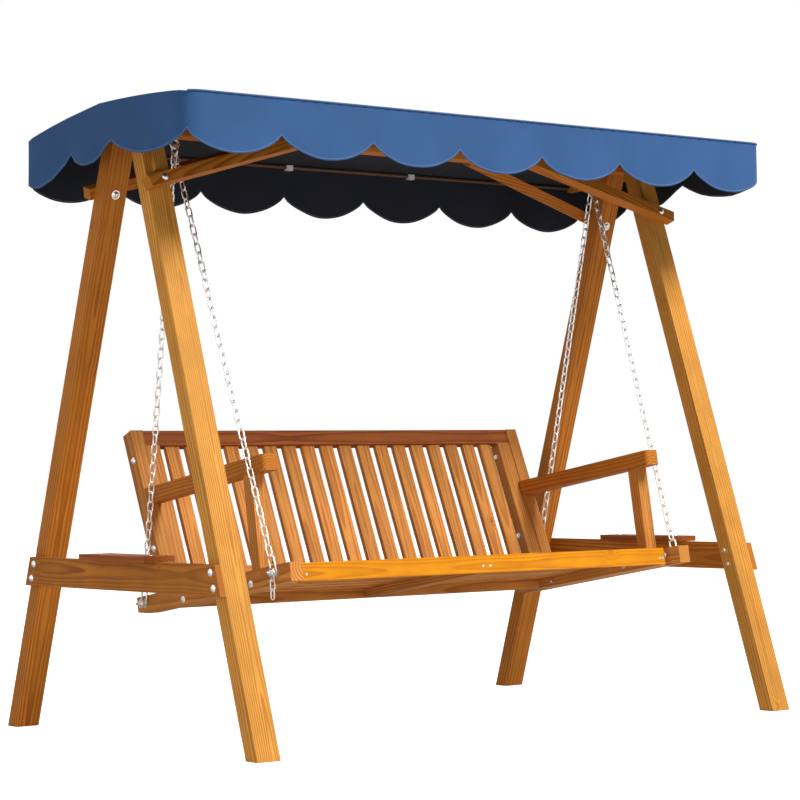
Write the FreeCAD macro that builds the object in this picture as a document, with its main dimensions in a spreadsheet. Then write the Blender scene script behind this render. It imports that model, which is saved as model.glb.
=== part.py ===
# Porch swing: a bench on four chains under a timber frame with a scalloped canopy.
# Millimetres, X along the bench, -Y is the front, +Z up, origin on the ground under the middle.
import FreeCAD, Part
import math
import os
import Sketcher

V = FreeCAD.Vector
Placement = FreeCAD.Placement
Rotation = FreeCAD.Rotation
X_AXIS = V(1, 0, 0)
Y_AXIS = V(0, 1, 0)
Z_AXIS = V(0, 0, 1)
SIDES = (("left", -1), ("right", 1))

DIMENSIONS = (
    ("leg_clear", 157, "gap between the bench and a leg"),
    ("foot_half", 628, "half depth over the feet"),
    ("leg_wide", 70, "leg section along the bench"),
    ("leg_deep", 50, "leg section across the slope"),
    ("lean", 0.33, "leg slope, run over rise"),
    ("leg_top", 1665, "height of the leg tops"),
    ("beam_low", 1640, "underside of the top beam"),
    ("beam_high", 40, "top beam height"),
    ("beam_deep", 76, "top beam depth"),
    ("beam_past", 38, "top beam's end past the legs"),
    ("tie_low", 405, "underside of the lower tie"),
    ("tie_high", 80, "lower tie height"),
    ("tie_thick", 18, "lower tie thickness"),
    ("strut_thick", 35, "corner strut, across the leg face"),
    ("strut_high", 32, "corner strut height"),
    ("strut_past", 10, "corner strut's end past the legs"),
    ("strut_inner", 350, "inner end of a corner strut"),
    ("strut_outer_low", 1468, "height of the strut's outer lower corner"),
    ("strut_slope", 0.28, "corner strut rise over run"),
    ("cleat_wide", 40, "cleat on a front leg"),
    ("cleat_thick", 18, "cleat thickness"),
    ("cleat_long", 112, "cleat length"),
    ("tray_wide", 96, "side tray, along the bench"),
    ("tray_long", 331, "side tray, front to back"),
    ("tray_thick", 16, "side tray thickness"),
    ("seat_tilt", 9, "slope of the bench, degrees"),
    ("bench_half", 720, "half length over the bench rails"),
    ("rail_long", 755, "side rail length"),
    ("rail_high", 50, "side rail height"),
    ("rail_thick", 40, "side rail, stile and post thickness"),
    ("bearer_wide", 50, "seat bearer width"),
    ("bearer_high", 28, "seat bearer height"),
    ("slat_short", 65, "seat slat's end inside the bench's outer face"),
    ("chain_out", 55, "hanger outside the bench's outer face"),
    ("front_slat_thick", 20, "front slat thickness"),
    ("seat_slat_wide", 46, "seat slat width"),
    ("seat_slat_pitch", 70, "seat slat spacing"),
    ("seat_slats", 8, "number of seat slats"),
    ("back_tilt", 14, "recline from square to the seat, degrees"),
    ("back_foot", 592, "stile foot behind the rail's front end"),
    ("back_long", 486, "stile length on its front face"),
    ("stile_deep", 45, "stile depth"),
    ("back_rail_high", 46, "back rail height"),
    ("back_rail_deep", 30, "back rail depth"),
    ("end_board_wide", 48, "end board of the back"),
    ("end_board_deep", 35, "end board depth"),
    ("back_slat_wide", 44, "back slat width"),
    ("back_slat_thick", 14, "back slat thickness"),
    ("back_slats", 18, "number of loose back slats"),
    ("arm_wide", 50, "armrest width"),
    ("arm_high", 44, "armrest thickness"),
    ("arm_low", 303, "armrest underside over the rail's underside"),
    ("arm_front", 74, "armrest front end behind the rail's front end"),
    ("post_deep", 38, "arm post depth"),
    ("post_front", 135, "arm post behind the rail's front end"),
    ("bolt_dia", 8, "bolt shank"),
    ("dome_dia", 20, "dome head diameter"),
    ("dome_high", 5, "dome head height"),
    ("nut_flats", 13, "nut across flats"),
    ("nut_high", 6.5, "nut height"),
    ("washer_dia", 26, "washer diameter"),
    ("washer_thick", 2, "washer thickness"),
    ("screw_dia", 8, "screw head diameter"),
    ("screw_high", 1.5, "screw head height"),
    ("hole_play", 0.1, "radial play of a bolt in its hole"),
    ("eye_radius", 12, "hanger eye, to the middle of its wire"),
    ("eye_wire", 8, "hanger eye wire"),
    ("ring_radius", 14, "chain ring, to the middle of its wire"),
    ("ring_wire", 6, "chain ring wire"),
    ("link_wire", 4, "chain wire"),
    ("link_wide", 18, "chain link width"),
    ("link_pitch", 24, "wanted chain pitch"),
    ("clip_wire", 5.5, "connecting link wire"),
    ("clip_wide", 30, "connecting link width"),
    ("clip_long", 62, "connecting link length"),
    ("chain_gap", 0.3, "play between two links"),
    ("roof_past", 103, "canopy's end past the legs"),
    ("roof_front", 478, "canopy front edge, forward of the middle"),
    ("roof_back", 362, "canopy rear edge, behind the middle"),
    ("roof_ridge", 60, "canopy ridge, forward of the middle"),
    ("roof_front_z", 1692, "height of the front edge"),
    ("roof_ridge_z", 1706, "height of the ridge"),
    ("roof_back_z", 1639, "height of the rear edge"),
    ("cloth", 2.5, "canopy wall of the plain solid"),
    ("valance_cusp", 98, "valance depth at a point"),
    ("valance_low", 155, "valance depth at a scallop's lowest"),
    ("scallops", 7, "scallops along the front"),
    ("pole_dia", 12, "canopy pole"),
    ("roof_arm_thick", 20, "canopy side arm thickness"),
    ("roof_arm_high", 36, "canopy side arm height"),
)

# Lengths that follow others.
FOLLOWING = (
    ("frame_half", "=bench_half + leg_clear + leg_wide", "half length over the legs"),
    ("beam_half", "=bench_half + leg_clear + leg_wide + beam_past", "half length of the top beam"),
    ("strut_outer", "=bench_half + leg_clear + leg_wide + strut_past", "outer end of a corner strut"),
    ("roof_half", "=bench_half + leg_clear + leg_wide + roof_past", "half length of the canopy"),
    ("front_slat_half", "=bench_half - slat_short", "half length of the seat slats"),
)

doc = FreeCAD.newDocument("PorchSwing")
sheet = doc.addObject("Spreadsheet::Sheet", "Dims")
for row, (alias, number, meaning) in enumerate(DIMENSIONS + FOLLOWING, start=1):
    sheet.set(f"A{row}", meaning)
    sheet.set(f"B{row}", str(number))
    sheet.setAlias(f"B{row}", alias)
doc.recompute()
D = {alias: float(sheet.get(alias)) for alias, number, meaning in DIMENSIONS + FOLLOWING}

nodes = []


# ---------------------------------------------------------------- helpers

def keep(thing, label):
    """Name a finished sub-part."""
    thing.Label = label
    nodes.append(thing)
    return thing


def bind(thing, **sizes):
    """Tie an object's sizes to the sheet."""
    for name, formula in sizes.items():
        thing.setExpression(name, formula)
    return thing


def spaced(name):
    """A fresh object name."""
    return name + "_" + str(len(doc.Objects))


def board(name, length, width, height, place):
    """A plain sawn board."""
    box = doc.addObject("Part::Box", spaced(name))
    bind(box, Length=length, Width=width, Height=height)
    box.Placement = place
    return box


def rod(name, radius, height, place):
    """A round bar along the placement's Z."""
    bar = doc.addObject("Part::Cylinder", spaced(name))
    bind(bar, Radius=radius, Height=height)
    bar.Placement = place
    return bar


def origin_part(body, role):
    """A plane or axis of the body's own origin."""
    return [item for item in body.Origin.OriginFeatures if item.Role == role][0]


def outline_body(name, plane, corners, depth, place):
    """A body padded from an outline whose corners are sheet formulas."""
    body = doc.addObject("PartDesign::Body", spaced(name))
    sketch = body.newObject("Sketcher::SketchObject", spaced("outline"))
    sketch.AttachmentSupport = [(origin_part(body, plane), "")]
    sketch.MapMode = "FlatFace"
    count = len(corners)
    turn = 2 * math.pi / count
    start = [V(100 * math.cos(turn * i + 0.3), 100 * math.sin(turn * i + 0.3), 0) for i in range(count)]
    for i in range(count):
        sketch.addGeometry(Part.LineSegment(start[i], start[(i + 1) % count]), False)
    for i in range(count):
        sketch.addConstraint(Sketcher.Constraint("Coincident", i, 2, (i + 1) % count, 1))
    for i, (across, up) in enumerate(corners):
        for kind, formula, first in (("DistanceX", across, start[i].x), ("DistanceY", up, start[i].y)):
            number = sketch.addConstraint(Sketcher.Constraint(kind, -1, 1, i, 1, first))
            sketch.setExpression(f"Constraints[{number}]", formula)
    pad = body.newObject("PartDesign::Pad", spaced("pad"))
    pad.Profile = sketch
    pad.setExpression("Length", depth)
    body.Tip = pad
    body.Placement = place
    return body


def repeat(body, axis, pitch, count):
    """Repeat a body's pad along one of its own axes."""
    pad = body.Tip
    body.AllowCompound = True
    row = body.newObject("PartDesign::LinearPattern", spaced("row"))
    row.Originals = [pad]
    row.Direction = (origin_part(body, axis), [""])
    row.Mode = "Spacing"
    row.setExpression("Offset", pitch)
    row.setExpression("Occurrences", count)
    body.Tip = row
    return body


def drilled(blank, holes, extra=()):
    """Cut bolt holes, each (start point, direction, length, radius formula), and extra shapes."""
    drills = list(extra)
    for start, direction, length, radius in holes:
        turn = Rotation(Z_AXIS, direction)
        drills.append(rod("drill", radius, str(length), Placement(start, turn)))
    tool = drills[0]
    if len(drills) > 1:
        tool = doc.addObject("Part::MultiFuse", spaced("drills"))
        tool.Shapes = drills
    cut = doc.addObject("Part::Cut", spaced("drilled"))
    cut.Base = blank
    cut.Tool = tool
    return cut


def cluster(label, parts):
    """Several separate solids kept as one sub-part."""
    group = doc.addObject("Part::Compound", spaced("group"))
    group.Links = parts
    return keep(group, label)


BOLT_HOLE = "Dims.bolt_dia / 2 + Dims.hole_play"
SEAT_HOLE = "Dims.washer_dia / 2 + 1"

# ---------------------------------------------------------------- timber frame

LEAN_ANGLE = math.degrees(math.atan(D["lean"]))
LEAN_COS = math.cos(math.radians(LEAN_ANGLE))
LEAN_TURN = Rotation(X_AXIS, -LEAN_ANGLE)
HALF_TURN = Placement(V(0, 0, 0), Rotation(Z_AXIS, 180))
FRONT_FACE = Placement(V(0, -D["foot_half"], 0), LEAN_TURN)
LEG_MIDDLE = D["frame_half"] - D["leg_wide"] / 2
FLAT_DEEP = "Dims.leg_deep * sqrt(1 + Dims.lean ^ 2)"
TIE_BOLT_Z = (D["tie_low"] + 0.25 * D["tie_high"], D["tie_low"] + 0.75 * D["tie_high"])
BEAM_BOLT_Z = D["beam_low"] + 12
BEAM_SEAT_Y = 73
STRUT_BOLT_Z = D["strut_outer_low"] + D["strut_slope"] * (D["strut_outer"] - LEG_MIDDLE)
STRUT_BOLT_Z += D["strut_high"] / 2


def mirrored_x(place_point, side):
    return V(side * abs(place_point.x), place_point.y, place_point.z)


def leg_centre_y(height):
    """Middle of a front leg at a height."""
    return -D["foot_half"] + D["lean"] * height + D["leg_deep"] / LEAN_COS / 2


def tie_bolts(side):
    """Start points of the two bolts through a front leg and the lower tie."""
    outer = side * (D["frame_half"] + D["tie_thick"])
    return [V(outer, leg_centre_y(height), height) for height in TIE_BOLT_Z]


def strut_bolt(side):
    """Middle of the strut on a front leg's face, in the leg face's own axes."""
    return V(side * LEG_MIDDLE, 0, STRUT_BOLT_Z / LEAN_COS)


leg_corners = (
    ("-Dims.foot_half", "0"),
    (f"-Dims.foot_half + {FLAT_DEEP}", "0"),
    (f"-Dims.foot_half + {FLAT_DEEP} + Dims.lean * Dims.beam_low", "Dims.beam_low"),
    ("-Dims.beam_deep / 2", "Dims.beam_low"),
    ("-Dims.beam_deep / 2", "Dims.leg_top"),
    ("-Dims.foot_half + Dims.lean * Dims.leg_top", "Dims.leg_top"),
)

for name, side in SIDES:
    inner = side * D["frame_half"] - (D["leg_wide"] if side > 0 else 0)
    inward = V(-side, 0, 0)
    holes = []
    for point in tie_bolts(side):
        holes.append((point, inward, D["tie_thick"] + D["leg_wide"] + 5, BOLT_HOLE))
    through = FRONT_FACE.multVec(strut_bolt(side) + V(0, -50, 0))
    holes.append((through, FRONT_FACE.Rotation.multVec(Y_AXIS), 120, BOLT_HOLE))
    holes.append((V(side * LEG_MIDDLE, -120, BEAM_BOLT_Z), Y_AXIS, 120, BOLT_HOLE))
    holes.append((V(side * LEG_MIDDLE, -120, BEAM_BOLT_Z), Y_AXIS, 120 - BEAM_SEAT_Y, SEAT_HOLE))
    for row, label in ((1, "leg_front_"), (-1, "leg_rear_")):
        blank = outline_body("leg", "YZ_Plane", leg_corners, "Dims.leg_wide", Placement(V(inner, 0, 0), Rotation()))
        leg = drilled(blank, holes)
        if row > 0:
            keep(leg, label + name)
        else:
            leg.Placement = HALF_TURN
            keep(leg, label + ("right" if side < 0 else "left"))

tie_corners = (
    ("-Dims.foot_half + Dims.lean * Dims.tie_low", "Dims.tie_low"),
    ("Dims.foot_half - Dims.lean * Dims.tie_low", "Dims.tie_low"),
    ("Dims.foot_half - Dims.lean * (Dims.tie_low + Dims.tie_high)", "Dims.tie_low + Dims.tie_high"),
    ("-Dims.foot_half + Dims.lean * (Dims.tie_low + Dims.tie_high)", "Dims.tie_low + Dims.tie_high"),
)
PEG_HOLE = (-210, 472)
for name, side in SIDES:
    low = side * D["frame_half"] - (D["tie_thick"] if side < 0 else 0)
    blank = outline_body("tie", "YZ_Plane", tie_corners, "Dims.tie_thick", Placement(V(low, 0, 0), Rotation()))
    outer = side * (D["frame_half"] + D["tie_thick"])
    inward = V(-side, 0, 0)
    holes = []
    for point in tie_bolts(side):
        for row in (1, -1):
            holes.append((V(outer, row * point.y, point.z), inward, D["tie_thick"], BOLT_HOLE))
    holes.append((V(outer, PEG_HOLE[0], PEG_HOLE[1]), inward, 8, "2.5"))
    keep(drilled(blank, holes), "tie_lower_" + name)

beam_place = Placement(V(-D["beam_half"], -D["beam_deep"] / 2, D["beam_low"]), Rotation())
beam = board("beam", "2 * Dims.beam_half", "Dims.beam_deep", "Dims.beam_high", beam_place)
HANGER_X = D["bench_half"] + D["chain_out"]
BEAM_PIVOT_Z = D["beam_low"] + D["beam_high"] / 2
PIVOT_SHANK = 45
beam_holes = []
for name, side in SIDES:
    beam_holes.append((V(side * LEG_MIDDLE, -D["beam_deep"] / 2, BEAM_BOLT_Z), Y_AXIS, D["beam_deep"], BOLT_HOLE))
    beam_holes.append((V(side * HANGER_X, 0, D["beam_low"]), Z_AXIS, D["beam_high"], BOLT_HOLE))
    beam_holes.append((V(side * D["beam_half"], 0, BEAM_PIVOT_Z), V(-side, 0, 0), PIVOT_SHANK, BOLT_HOLE))
keep(drilled(beam, beam_holes), "beam_top")

STRUT_ANGLE = math.degrees(math.atan(D["strut_slope"] / LEAN_COS))
STRUT_LONG = "(Dims.strut_outer - Dims.strut_inner) * sqrt(1 + (Dims.strut_slope ^ 2) * (1 + Dims.lean ^ 2))"
strut_rise = D["strut_slope"] * (D["strut_outer"] - D["strut_inner"])
# The inner ends are cut level, clear of the roof at its full tilt.
STRUT_TOP = 1655
for name, side in SIDES:
    if side < 0:
        start = V(-D["strut_outer"], -D["strut_thick"], D["strut_outer_low"] / LEAN_COS)
        turn = Rotation(Y_AXIS, -STRUT_ANGLE)
    else:
        start = V(D["strut_inner"], -D["strut_thick"], (D["strut_outer_low"] + strut_rise) / LEAN_COS)
        turn = Rotation(Y_AXIS, STRUT_ANGLE)
    place = FRONT_FACE.multiply(Placement(start, turn))
    through = FRONT_FACE.multVec(strut_bolt(side) + V(0, -50, 0))
    hole = (through, FRONT_FACE.Rotation.multVec(Y_AXIS), 60, BOLT_HOLE)
    for row, label in ((1, "strut_front_"), (-1, "strut_rear_")):
        blank = board("strut", STRUT_LONG, "Dims.strut_thick", "Dims.strut_high", place)
        level_place = Placement(V(-D["frame_half"], -D["foot_half"] / 2, STRUT_TOP), Rotation())
        level = board("level_cut", "2 * Dims.frame_half", "Dims.foot_half", "100", level_place)
        strut = drilled(blank, [hole], [level])
        if row > 0:
            keep(strut, label + name)
        else:
            strut.Placement = HALF_TURN
            keep(strut, label + ("right" if side < 0 else "left"))

SPACER_LOW = 1643
SPACER_HIGH = 1662
SPACER_WIDE = 45
spacer_corners = (
    ("-Dims.beam_deep / 2", str(SPACER_LOW)),
    ("-Dims.beam_deep / 2", str(SPACER_HIGH)),
    (f"-Dims.foot_half + Dims.lean * {SPACER_HIGH}", str(SPACER_HIGH)),
    (f"-Dims.foot_half + Dims.lean * {SPACER_LOW}", str(SPACER_LOW)),
)
spacers = []
for x_low in (-D["strut_inner"] - SPACER_WIDE, D["strut_inner"]):
    for row in (1, -1):
        place = Placement(V(x_low, 0, 0), Rotation())
        block = outline_body("spacer", "YZ_Plane", spacer_corners, str(SPACER_WIDE), place)
        if row < 0:
            block.Placement = HALF_TURN.multiply(place)
        spacers.append(block)
cluster("strut_spacers", spacers)

CLEAT_INSET = 22
CLEAT_LOW = 1523
cleats = []
for name, side in SIDES:
    outer = D["frame_half"] - CLEAT_INSET
    start = V(-outer if side < 0 else outer - D["cleat_wide"], -D["cleat_thick"], CLEAT_LOW / LEAN_COS)
    place = FRONT_FACE.multiply(Placement(start, Rotation()))
    cleats.append(board("cleat", "Dims.cleat_wide", "Dims.cleat_thick", "Dims.cleat_long", place))
cluster("leg_cleats", cleats)

TRAY_FRONT = -195
TRAY_INNER = D["frame_half"] - 40
for name, side in SIDES:
    low = -TRAY_INNER - D["tray_wide"] if side < 0 else TRAY_INNER
    place = Placement(V(low, TRAY_FRONT, D["tie_low"] + D["tie_high"]), Rotation())
    tray = board("tray", "Dims.tray_wide", "Dims.tray_long", "Dims.tray_thick", place)
    keep(tray, "tray_" + name)

# ---------------------------------------------------------------- bolts, nuts and washers

DOME_BALL = (D["dome_high"] ** 2 + (D["dome_dia"] / 2) ** 2) / (2 * D["dome_high"])
DOME_LATITUDE = math.degrees(math.asin((DOME_BALL - D["dome_high"]) / DOME_BALL))
NUT_ROUND = "Dims.nut_flats / sqrt(3)"


def dome_bolt(name, length):
    """A dome-headed bolt: the head seats at Z = 0 and the shank runs down -Z."""
    head = doc.addObject("Part::Sphere", spaced("dome"))
    head.Radius = DOME_BALL
    head.Angle1 = DOME_LATITUDE
    head.Placement = Placement(V(0, 0, D["dome_high"] - DOME_BALL), Rotation())
    shank = rod("shank", "Dims.bolt_dia / 2", str(length), Placement(V(0, 0, -length), Rotation()))
    bolt = doc.addObject("Part::MultiFuse", spaced(name))
    bolt.Shapes = [head, shank]
    return bolt


def bored(name, blank):
    """A blank with a bolt's bore up its Z axis."""
    bore = rod("bore", BOLT_HOLE, "40", Placement(V(0, 0, -20), Rotation()))
    ring = doc.addObject("Part::Cut", spaced(name))
    ring.Base = blank
    ring.Tool = bore
    return ring


nut_blank = doc.addObject("Part::Prism", spaced("hex"))
nut_blank.Polygon = 6
bind(nut_blank, Circumradius=NUT_ROUND, Height="Dims.nut_high")
nut = bored("nut", nut_blank)
washer = bored("washer", rod("disc", "Dims.washer_dia / 2", "Dims.washer_thick", Placement()))
NUT_TAIL = D["nut_high"] + 4
tie_bolt = dome_bolt("tie_bolt", D["tie_thick"] + D["leg_wide"] + NUT_TAIL)
strut_stack = D["strut_thick"] + D["leg_deep"]
strut_bolt_part = dome_bolt("strut_bolt", strut_stack + D["washer_thick"] + NUT_TAIL)
beam_bolt = dome_bolt("beam_bolt", 2 * BEAM_SEAT_Y + NUT_TAIL)
doc.recompute()


def placed(shape_source, where, direction):
    """A copy of a fastener with its Z axis along a direction."""
    copy = shape_source.Shape.copy()
    copy.Placement = Placement(where, Rotation(Z_AXIS, direction)).multiply(copy.Placement)
    return copy


def fasteners(label, copies):
    """One sub-part of separate fasteners."""
    group = doc.addObject("Part::Feature", spaced("fasteners"))
    group.Shape = Part.makeCompound(copies)
    return keep(group, label)


bolts = []
nuts = []
washers = []
half_turn_z = Rotation(Z_AXIS, 180)
face_out = FRONT_FACE.Rotation.multVec(V(0, -1, 0))
for name, side in SIDES:
    out = V(side, 0, 0)
    for point in tie_bolts(side):
        for row in (1, -1):
            seat = V(point.x, row * point.y, point.z)
            bolts.append(placed(tie_bolt, seat, out))
            inner = seat - out * (D["tie_thick"] + D["leg_wide"])
            nuts.append(placed(nut, inner, out * -1))
    front_seat = FRONT_FACE.multVec(strut_bolt(side) + V(0, -D["strut_thick"], 0))
    bolts.append(placed(strut_bolt_part, front_seat, face_out))
    nuts.append(placed(nut, front_seat - face_out * strut_stack, face_out * -1))
    rear_seat = FRONT_FACE.multVec(strut_bolt(side) + V(0, D["leg_deep"], 0))
    rear_seat = HALF_TURN.multVec(rear_seat)
    inward = half_turn_z.multVec(face_out) * -1
    washers.append(placed(washer, rear_seat, inward))
    bolts.append(placed(strut_bolt_part, rear_seat + inward * D["washer_thick"], inward))
    nuts.append(placed(nut, rear_seat - inward * strut_stack, inward * -1))
    beam_seat = V(side * LEG_MIDDLE, -BEAM_SEAT_Y, BEAM_BOLT_Z)
    bolts.append(placed(beam_bolt, beam_seat, V(0, -1, 0)))
    nuts.append(placed(nut, V(side * LEG_MIDDLE, BEAM_SEAT_Y, BEAM_BOLT_Z), Y_AXIS))
fasteners("frame_bolts", bolts)
fasteners("frame_nuts", nuts)
fasteners("frame_washers", washers)

screw = doc.addObject("Part::Cone", spaced("screw_head"))
bind(screw, Radius1="Dims.screw_dia / 2", Radius2="Dims.screw_dia / 2 - 1", Height="Dims.screw_high")
doc.recompute()
TRAY_SCREW_INSET = 40
tray_screws = []
for name, side in SIDES:
    for y in (TRAY_FRONT + TRAY_SCREW_INSET, TRAY_FRONT + D["tray_long"] - TRAY_SCREW_INSET):
        x = side * (D["frame_half"] + D["tie_thick"] / 2)
        tray_screws.append(placed(screw, V(x, y, D["tie_low"] + D["tie_high"] + D["tray_thick"]), Z_AXIS))
fasteners("tray_screws", tray_screws)

# ---------------------------------------------------------------- hanger eyes

EYE_Z = D["beam_low"] - D["eye_radius"] - D["eye_wire"] / 2 - D["washer_thick"]
HINGE_Z = EYE_Z - D["eye_radius"]
eyes = []
eye_nuts = []
for name, side in SIDES:
    loop = doc.addObject("Part::Torus", spaced("eye_loop"))
    bind(loop, Radius1="Dims.eye_radius", Radius2="Dims.eye_wire / 2")
    loop.Placement = Placement(V(side * HANGER_X, 0, EYE_Z), Rotation(X_AXIS, 90))
    shank_low = EYE_Z + D["eye_radius"]
    shank_long = D["beam_low"] + D["beam_high"] + NUT_TAIL - shank_low
    shank = rod("eye_shank", "Dims.bolt_dia / 2", str(shank_long), Placement(V(side * HANGER_X, 0, shank_low), Rotation()))
    collar_place = Placement(V(side * HANGER_X, 0, D["beam_low"] - D["washer_thick"]), Rotation())
    collar = rod("eye_collar", "Dims.washer_dia / 2 - 2", "Dims.washer_thick", collar_place)
    eye = doc.addObject("Part::MultiFuse", spaced("eye"))
    eye.Shapes = [loop, shank, collar]
    eyes.append(eye)
    eye_nuts.append(placed(nut, V(side * HANGER_X, 0, D["beam_low"] + D["beam_high"]), Z_AXIS))
cluster("hanger_eyes", eyes)
fasteners("hanger_nuts", eye_nuts)

# ---------------------------------------------------------------- bench

# The bench hangs with its centre of mass under the hangers.
BENCH_SHIFT = -8.85
BENCH_FRONT = -450 + BENCH_SHIFT
BENCH_LOW = 435
BENCH = Placement(V(0, BENCH_FRONT, BENCH_LOW), Rotation(X_AXIS, -D["seat_tilt"]))
BACK = BENCH.multiply(Placement(V(0, D["back_foot"], D["rail_high"]), Rotation(X_AXIS, -D["back_tilt"])))
RAIL_INNER = D["bench_half"] - D["rail_thick"]
BEARER_START = 58
SEAT_END = 576
CHAIN_BOLTS = (("front", 65, 30), ("rear", 712, 28))
BEARER_BOLTS = ((186, 15), (519, 15))
BACK_BOLTS = (133, 400)
BACK_BOLT_DEEP = 22
RAIL_CUT = 707
HEAD_RELIEF = 9


def on_bench(x, y, z):
    return BENCH.multVec(V(x, y, z))


def bench_board(name, length, width, height, x, y, z):
    place = BENCH.multiply(Placement(V(x, y, z), Rotation()))
    return board(name, length, width, height, place)


def back_board(name, length, width, height, x, y, z):
    place = BACK.multiply(Placement(V(x, y, z), Rotation()))
    return board(name, length, width, height, place)


rail_corners = (
    ("0", "0"),
    (str(RAIL_CUT), "0"),
    ("Dims.rail_long", f"(Dims.rail_long - {RAIL_CUT}) * tan(Dims.seat_tilt * 1 deg)"),
    ("Dims.rail_long", "Dims.rail_high"),
    ("0", "Dims.rail_high"),
)
RECLINE_RUN = "tan(Dims.back_tilt * 1 deg)"
RECLINE_COS = "cos(Dims.back_tilt * 1 deg)"
RECLINE_SIN = "sin(Dims.back_tilt * 1 deg)"
stile_corners = (
    ("Dims.back_foot", "Dims.rail_high"),
    (f"Dims.back_foot + Dims.stile_deep / {RECLINE_COS}", "Dims.rail_high"),
    (
        f"Dims.back_foot + Dims.back_long * {RECLINE_SIN} + Dims.stile_deep * {RECLINE_COS}",
        f"Dims.rail_high + Dims.back_long * {RECLINE_COS} - Dims.stile_deep * {RECLINE_SIN}",
    ),
    (
        f"Dims.back_foot + Dims.back_long * {RECLINE_SIN}",
        f"Dims.rail_high + Dims.back_long * {RECLINE_COS}",
    ),
)
ARM_BACK_LOW = f"Dims.back_foot + (Dims.arm_low - Dims.rail_high) * {RECLINE_RUN}"
arm_corners = (
    ("Dims.arm_front", "Dims.arm_low"),
    (ARM_BACK_LOW, "Dims.arm_low"),
    (f"{ARM_BACK_LOW} + Dims.arm_high * {RECLINE_RUN}", "Dims.arm_low + Dims.arm_high"),
    ("Dims.arm_front", "Dims.arm_low + Dims.arm_high"),
)
bench_out = {"left": V(-1, 0, 0), "right": V(1, 0, 0)}
ARM_ROUND = 12

for name, side in SIDES:
    out = bench_out[name]
    outer_low = -D["bench_half"] if side < 0 else RAIL_INNER
    rail_place = BENCH.multiply(Placement(V(outer_low, 0, 0), Rotation()))
    blank = outline_body("rail", "YZ_Plane", rail_corners, "Dims.rail_thick", rail_place)
    holes = []
    for label, y, z in CHAIN_BOLTS:
        holes.append((on_bench(side * D["bench_half"], y, z), out * -1, D["rail_thick"], BOLT_HOLE))
    for y, z in BEARER_BOLTS:
        holes.append((on_bench(side * D["bench_half"], y, z), out * -1, D["rail_thick"], BOLT_HOLE))
    keep(drilled(blank, holes), "rail_" + name)

    bearer_low = side * RAIL_INNER - (D["bearer_wide"] if side > 0 else 0)
    bearer_long = str(SEAT_END - BEARER_START)
    blank = bench_board("bearer", "Dims.bearer_wide", bearer_long, "Dims.bearer_high", bearer_low, BEARER_START, 0)
    holes = []
    for y, z in BEARER_BOLTS:
        holes.append((on_bench(side * RAIL_INNER, y, z), out * -1, D["bearer_wide"], BOLT_HOLE))
    front_bolt = CHAIN_BOLTS[0]
    holes.append((on_bench(side * RAIL_INNER, front_bolt[1], front_bolt[2]), out * -1, HEAD_RELIEF, SEAT_HOLE))
    keep(drilled(blank, holes), "bearer_" + name)

    blank = outline_body("stile", "YZ_Plane", stile_corners, "Dims.rail_thick", rail_place)
    holes = []
    for height in BACK_BOLTS:
        start = BACK.multVec(V(side * D["bench_half"], BACK_BOLT_DEEP, height))
        holes.append((start, out * -1, D["rail_thick"], BOLT_HOLE))
    keep(drilled(blank, holes), "stile_" + name)

    arm_low = side * D["bench_half"] - (D["arm_wide"] if side > 0 else 0)
    arm_place = BENCH.multiply(Placement(V(arm_low, 0, 0), Rotation()))
    arm = outline_body("armrest", "YZ_Plane", arm_corners, "Dims.arm_wide", arm_place)
    doc.recompute()
    arm_pad = arm.Tip
    rounded = arm.newObject("PartDesign::Fillet", spaced("arm_round"))
    front_edges = []
    for number, edge in enumerate(arm_pad.Shape.Edges, start=1):
        ends = [vertex.Point for vertex in edge.Vertexes]
        if all(abs(end.y - D["arm_front"]) < 0.01 for end in ends) and abs(ends[0].x - ends[1].x) < 0.01:
            front_edges.append(f"Edge{number}")
    rounded.Base = (arm_pad, front_edges)
    rounded.Radius = ARM_ROUND
    arm.Tip = rounded
    keep(arm, "armrest_" + name)

    post_low = -D["bench_half"] if side < 0 else RAIL_INNER
    post_high = "Dims.arm_low - Dims.rail_high"
    post = bench_board(
        "post", "Dims.rail_thick", "Dims.post_deep", post_high, post_low, D["post_front"], D["rail_high"]
    )
    keep(post, "arm_post_" + name)

MID_BEARER = -25
mid_low = MID_BEARER - D["bearer_wide"] / 2
middle = bench_board(
    "bearer", "Dims.bearer_wide", str(SEAT_END - BEARER_START), "Dims.bearer_high", mid_low, BEARER_START, 0
)
keep(middle, "bearer_middle")
front_slat = bench_board(
    "front_slat",
    "2 * Dims.front_slat_half",
    "Dims.front_slat_thick",
    "Dims.rail_high - 2",
    -D["front_slat_half"],
    BEARER_START - D["front_slat_thick"],
    2,
)
keep(front_slat, "seat_front_slat")
rear_rail = bench_board(
    "rear_rail",
    "2 * (Dims.bench_half - Dims.rail_thick)",
    "22",
    "Dims.bearer_high",
    -RAIL_INNER,
    SEAT_END,
    0,
)
keep(rear_rail, "seat_rear_rail")

SEAT_SLAT_START = 62
slat_corners = (
    (str(SEAT_SLAT_START), "Dims.bearer_high"),
    (f"{SEAT_SLAT_START} + Dims.seat_slat_wide", "Dims.bearer_high"),
    (f"{SEAT_SLAT_START} + Dims.seat_slat_wide", "Dims.rail_high"),
    (str(SEAT_SLAT_START), "Dims.rail_high"),
)
slat_place = BENCH.multiply(Placement(V(-D["front_slat_half"], 0, 0), Rotation()))
seat_slats = outline_body("seat_slat", "YZ_Plane", slat_corners, "2 * Dims.front_slat_half", slat_place)
repeat(seat_slats, "Y_Axis", "Dims.seat_slat_pitch", "Dims.seat_slats")
keep(seat_slats, "seat_slats")

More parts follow.
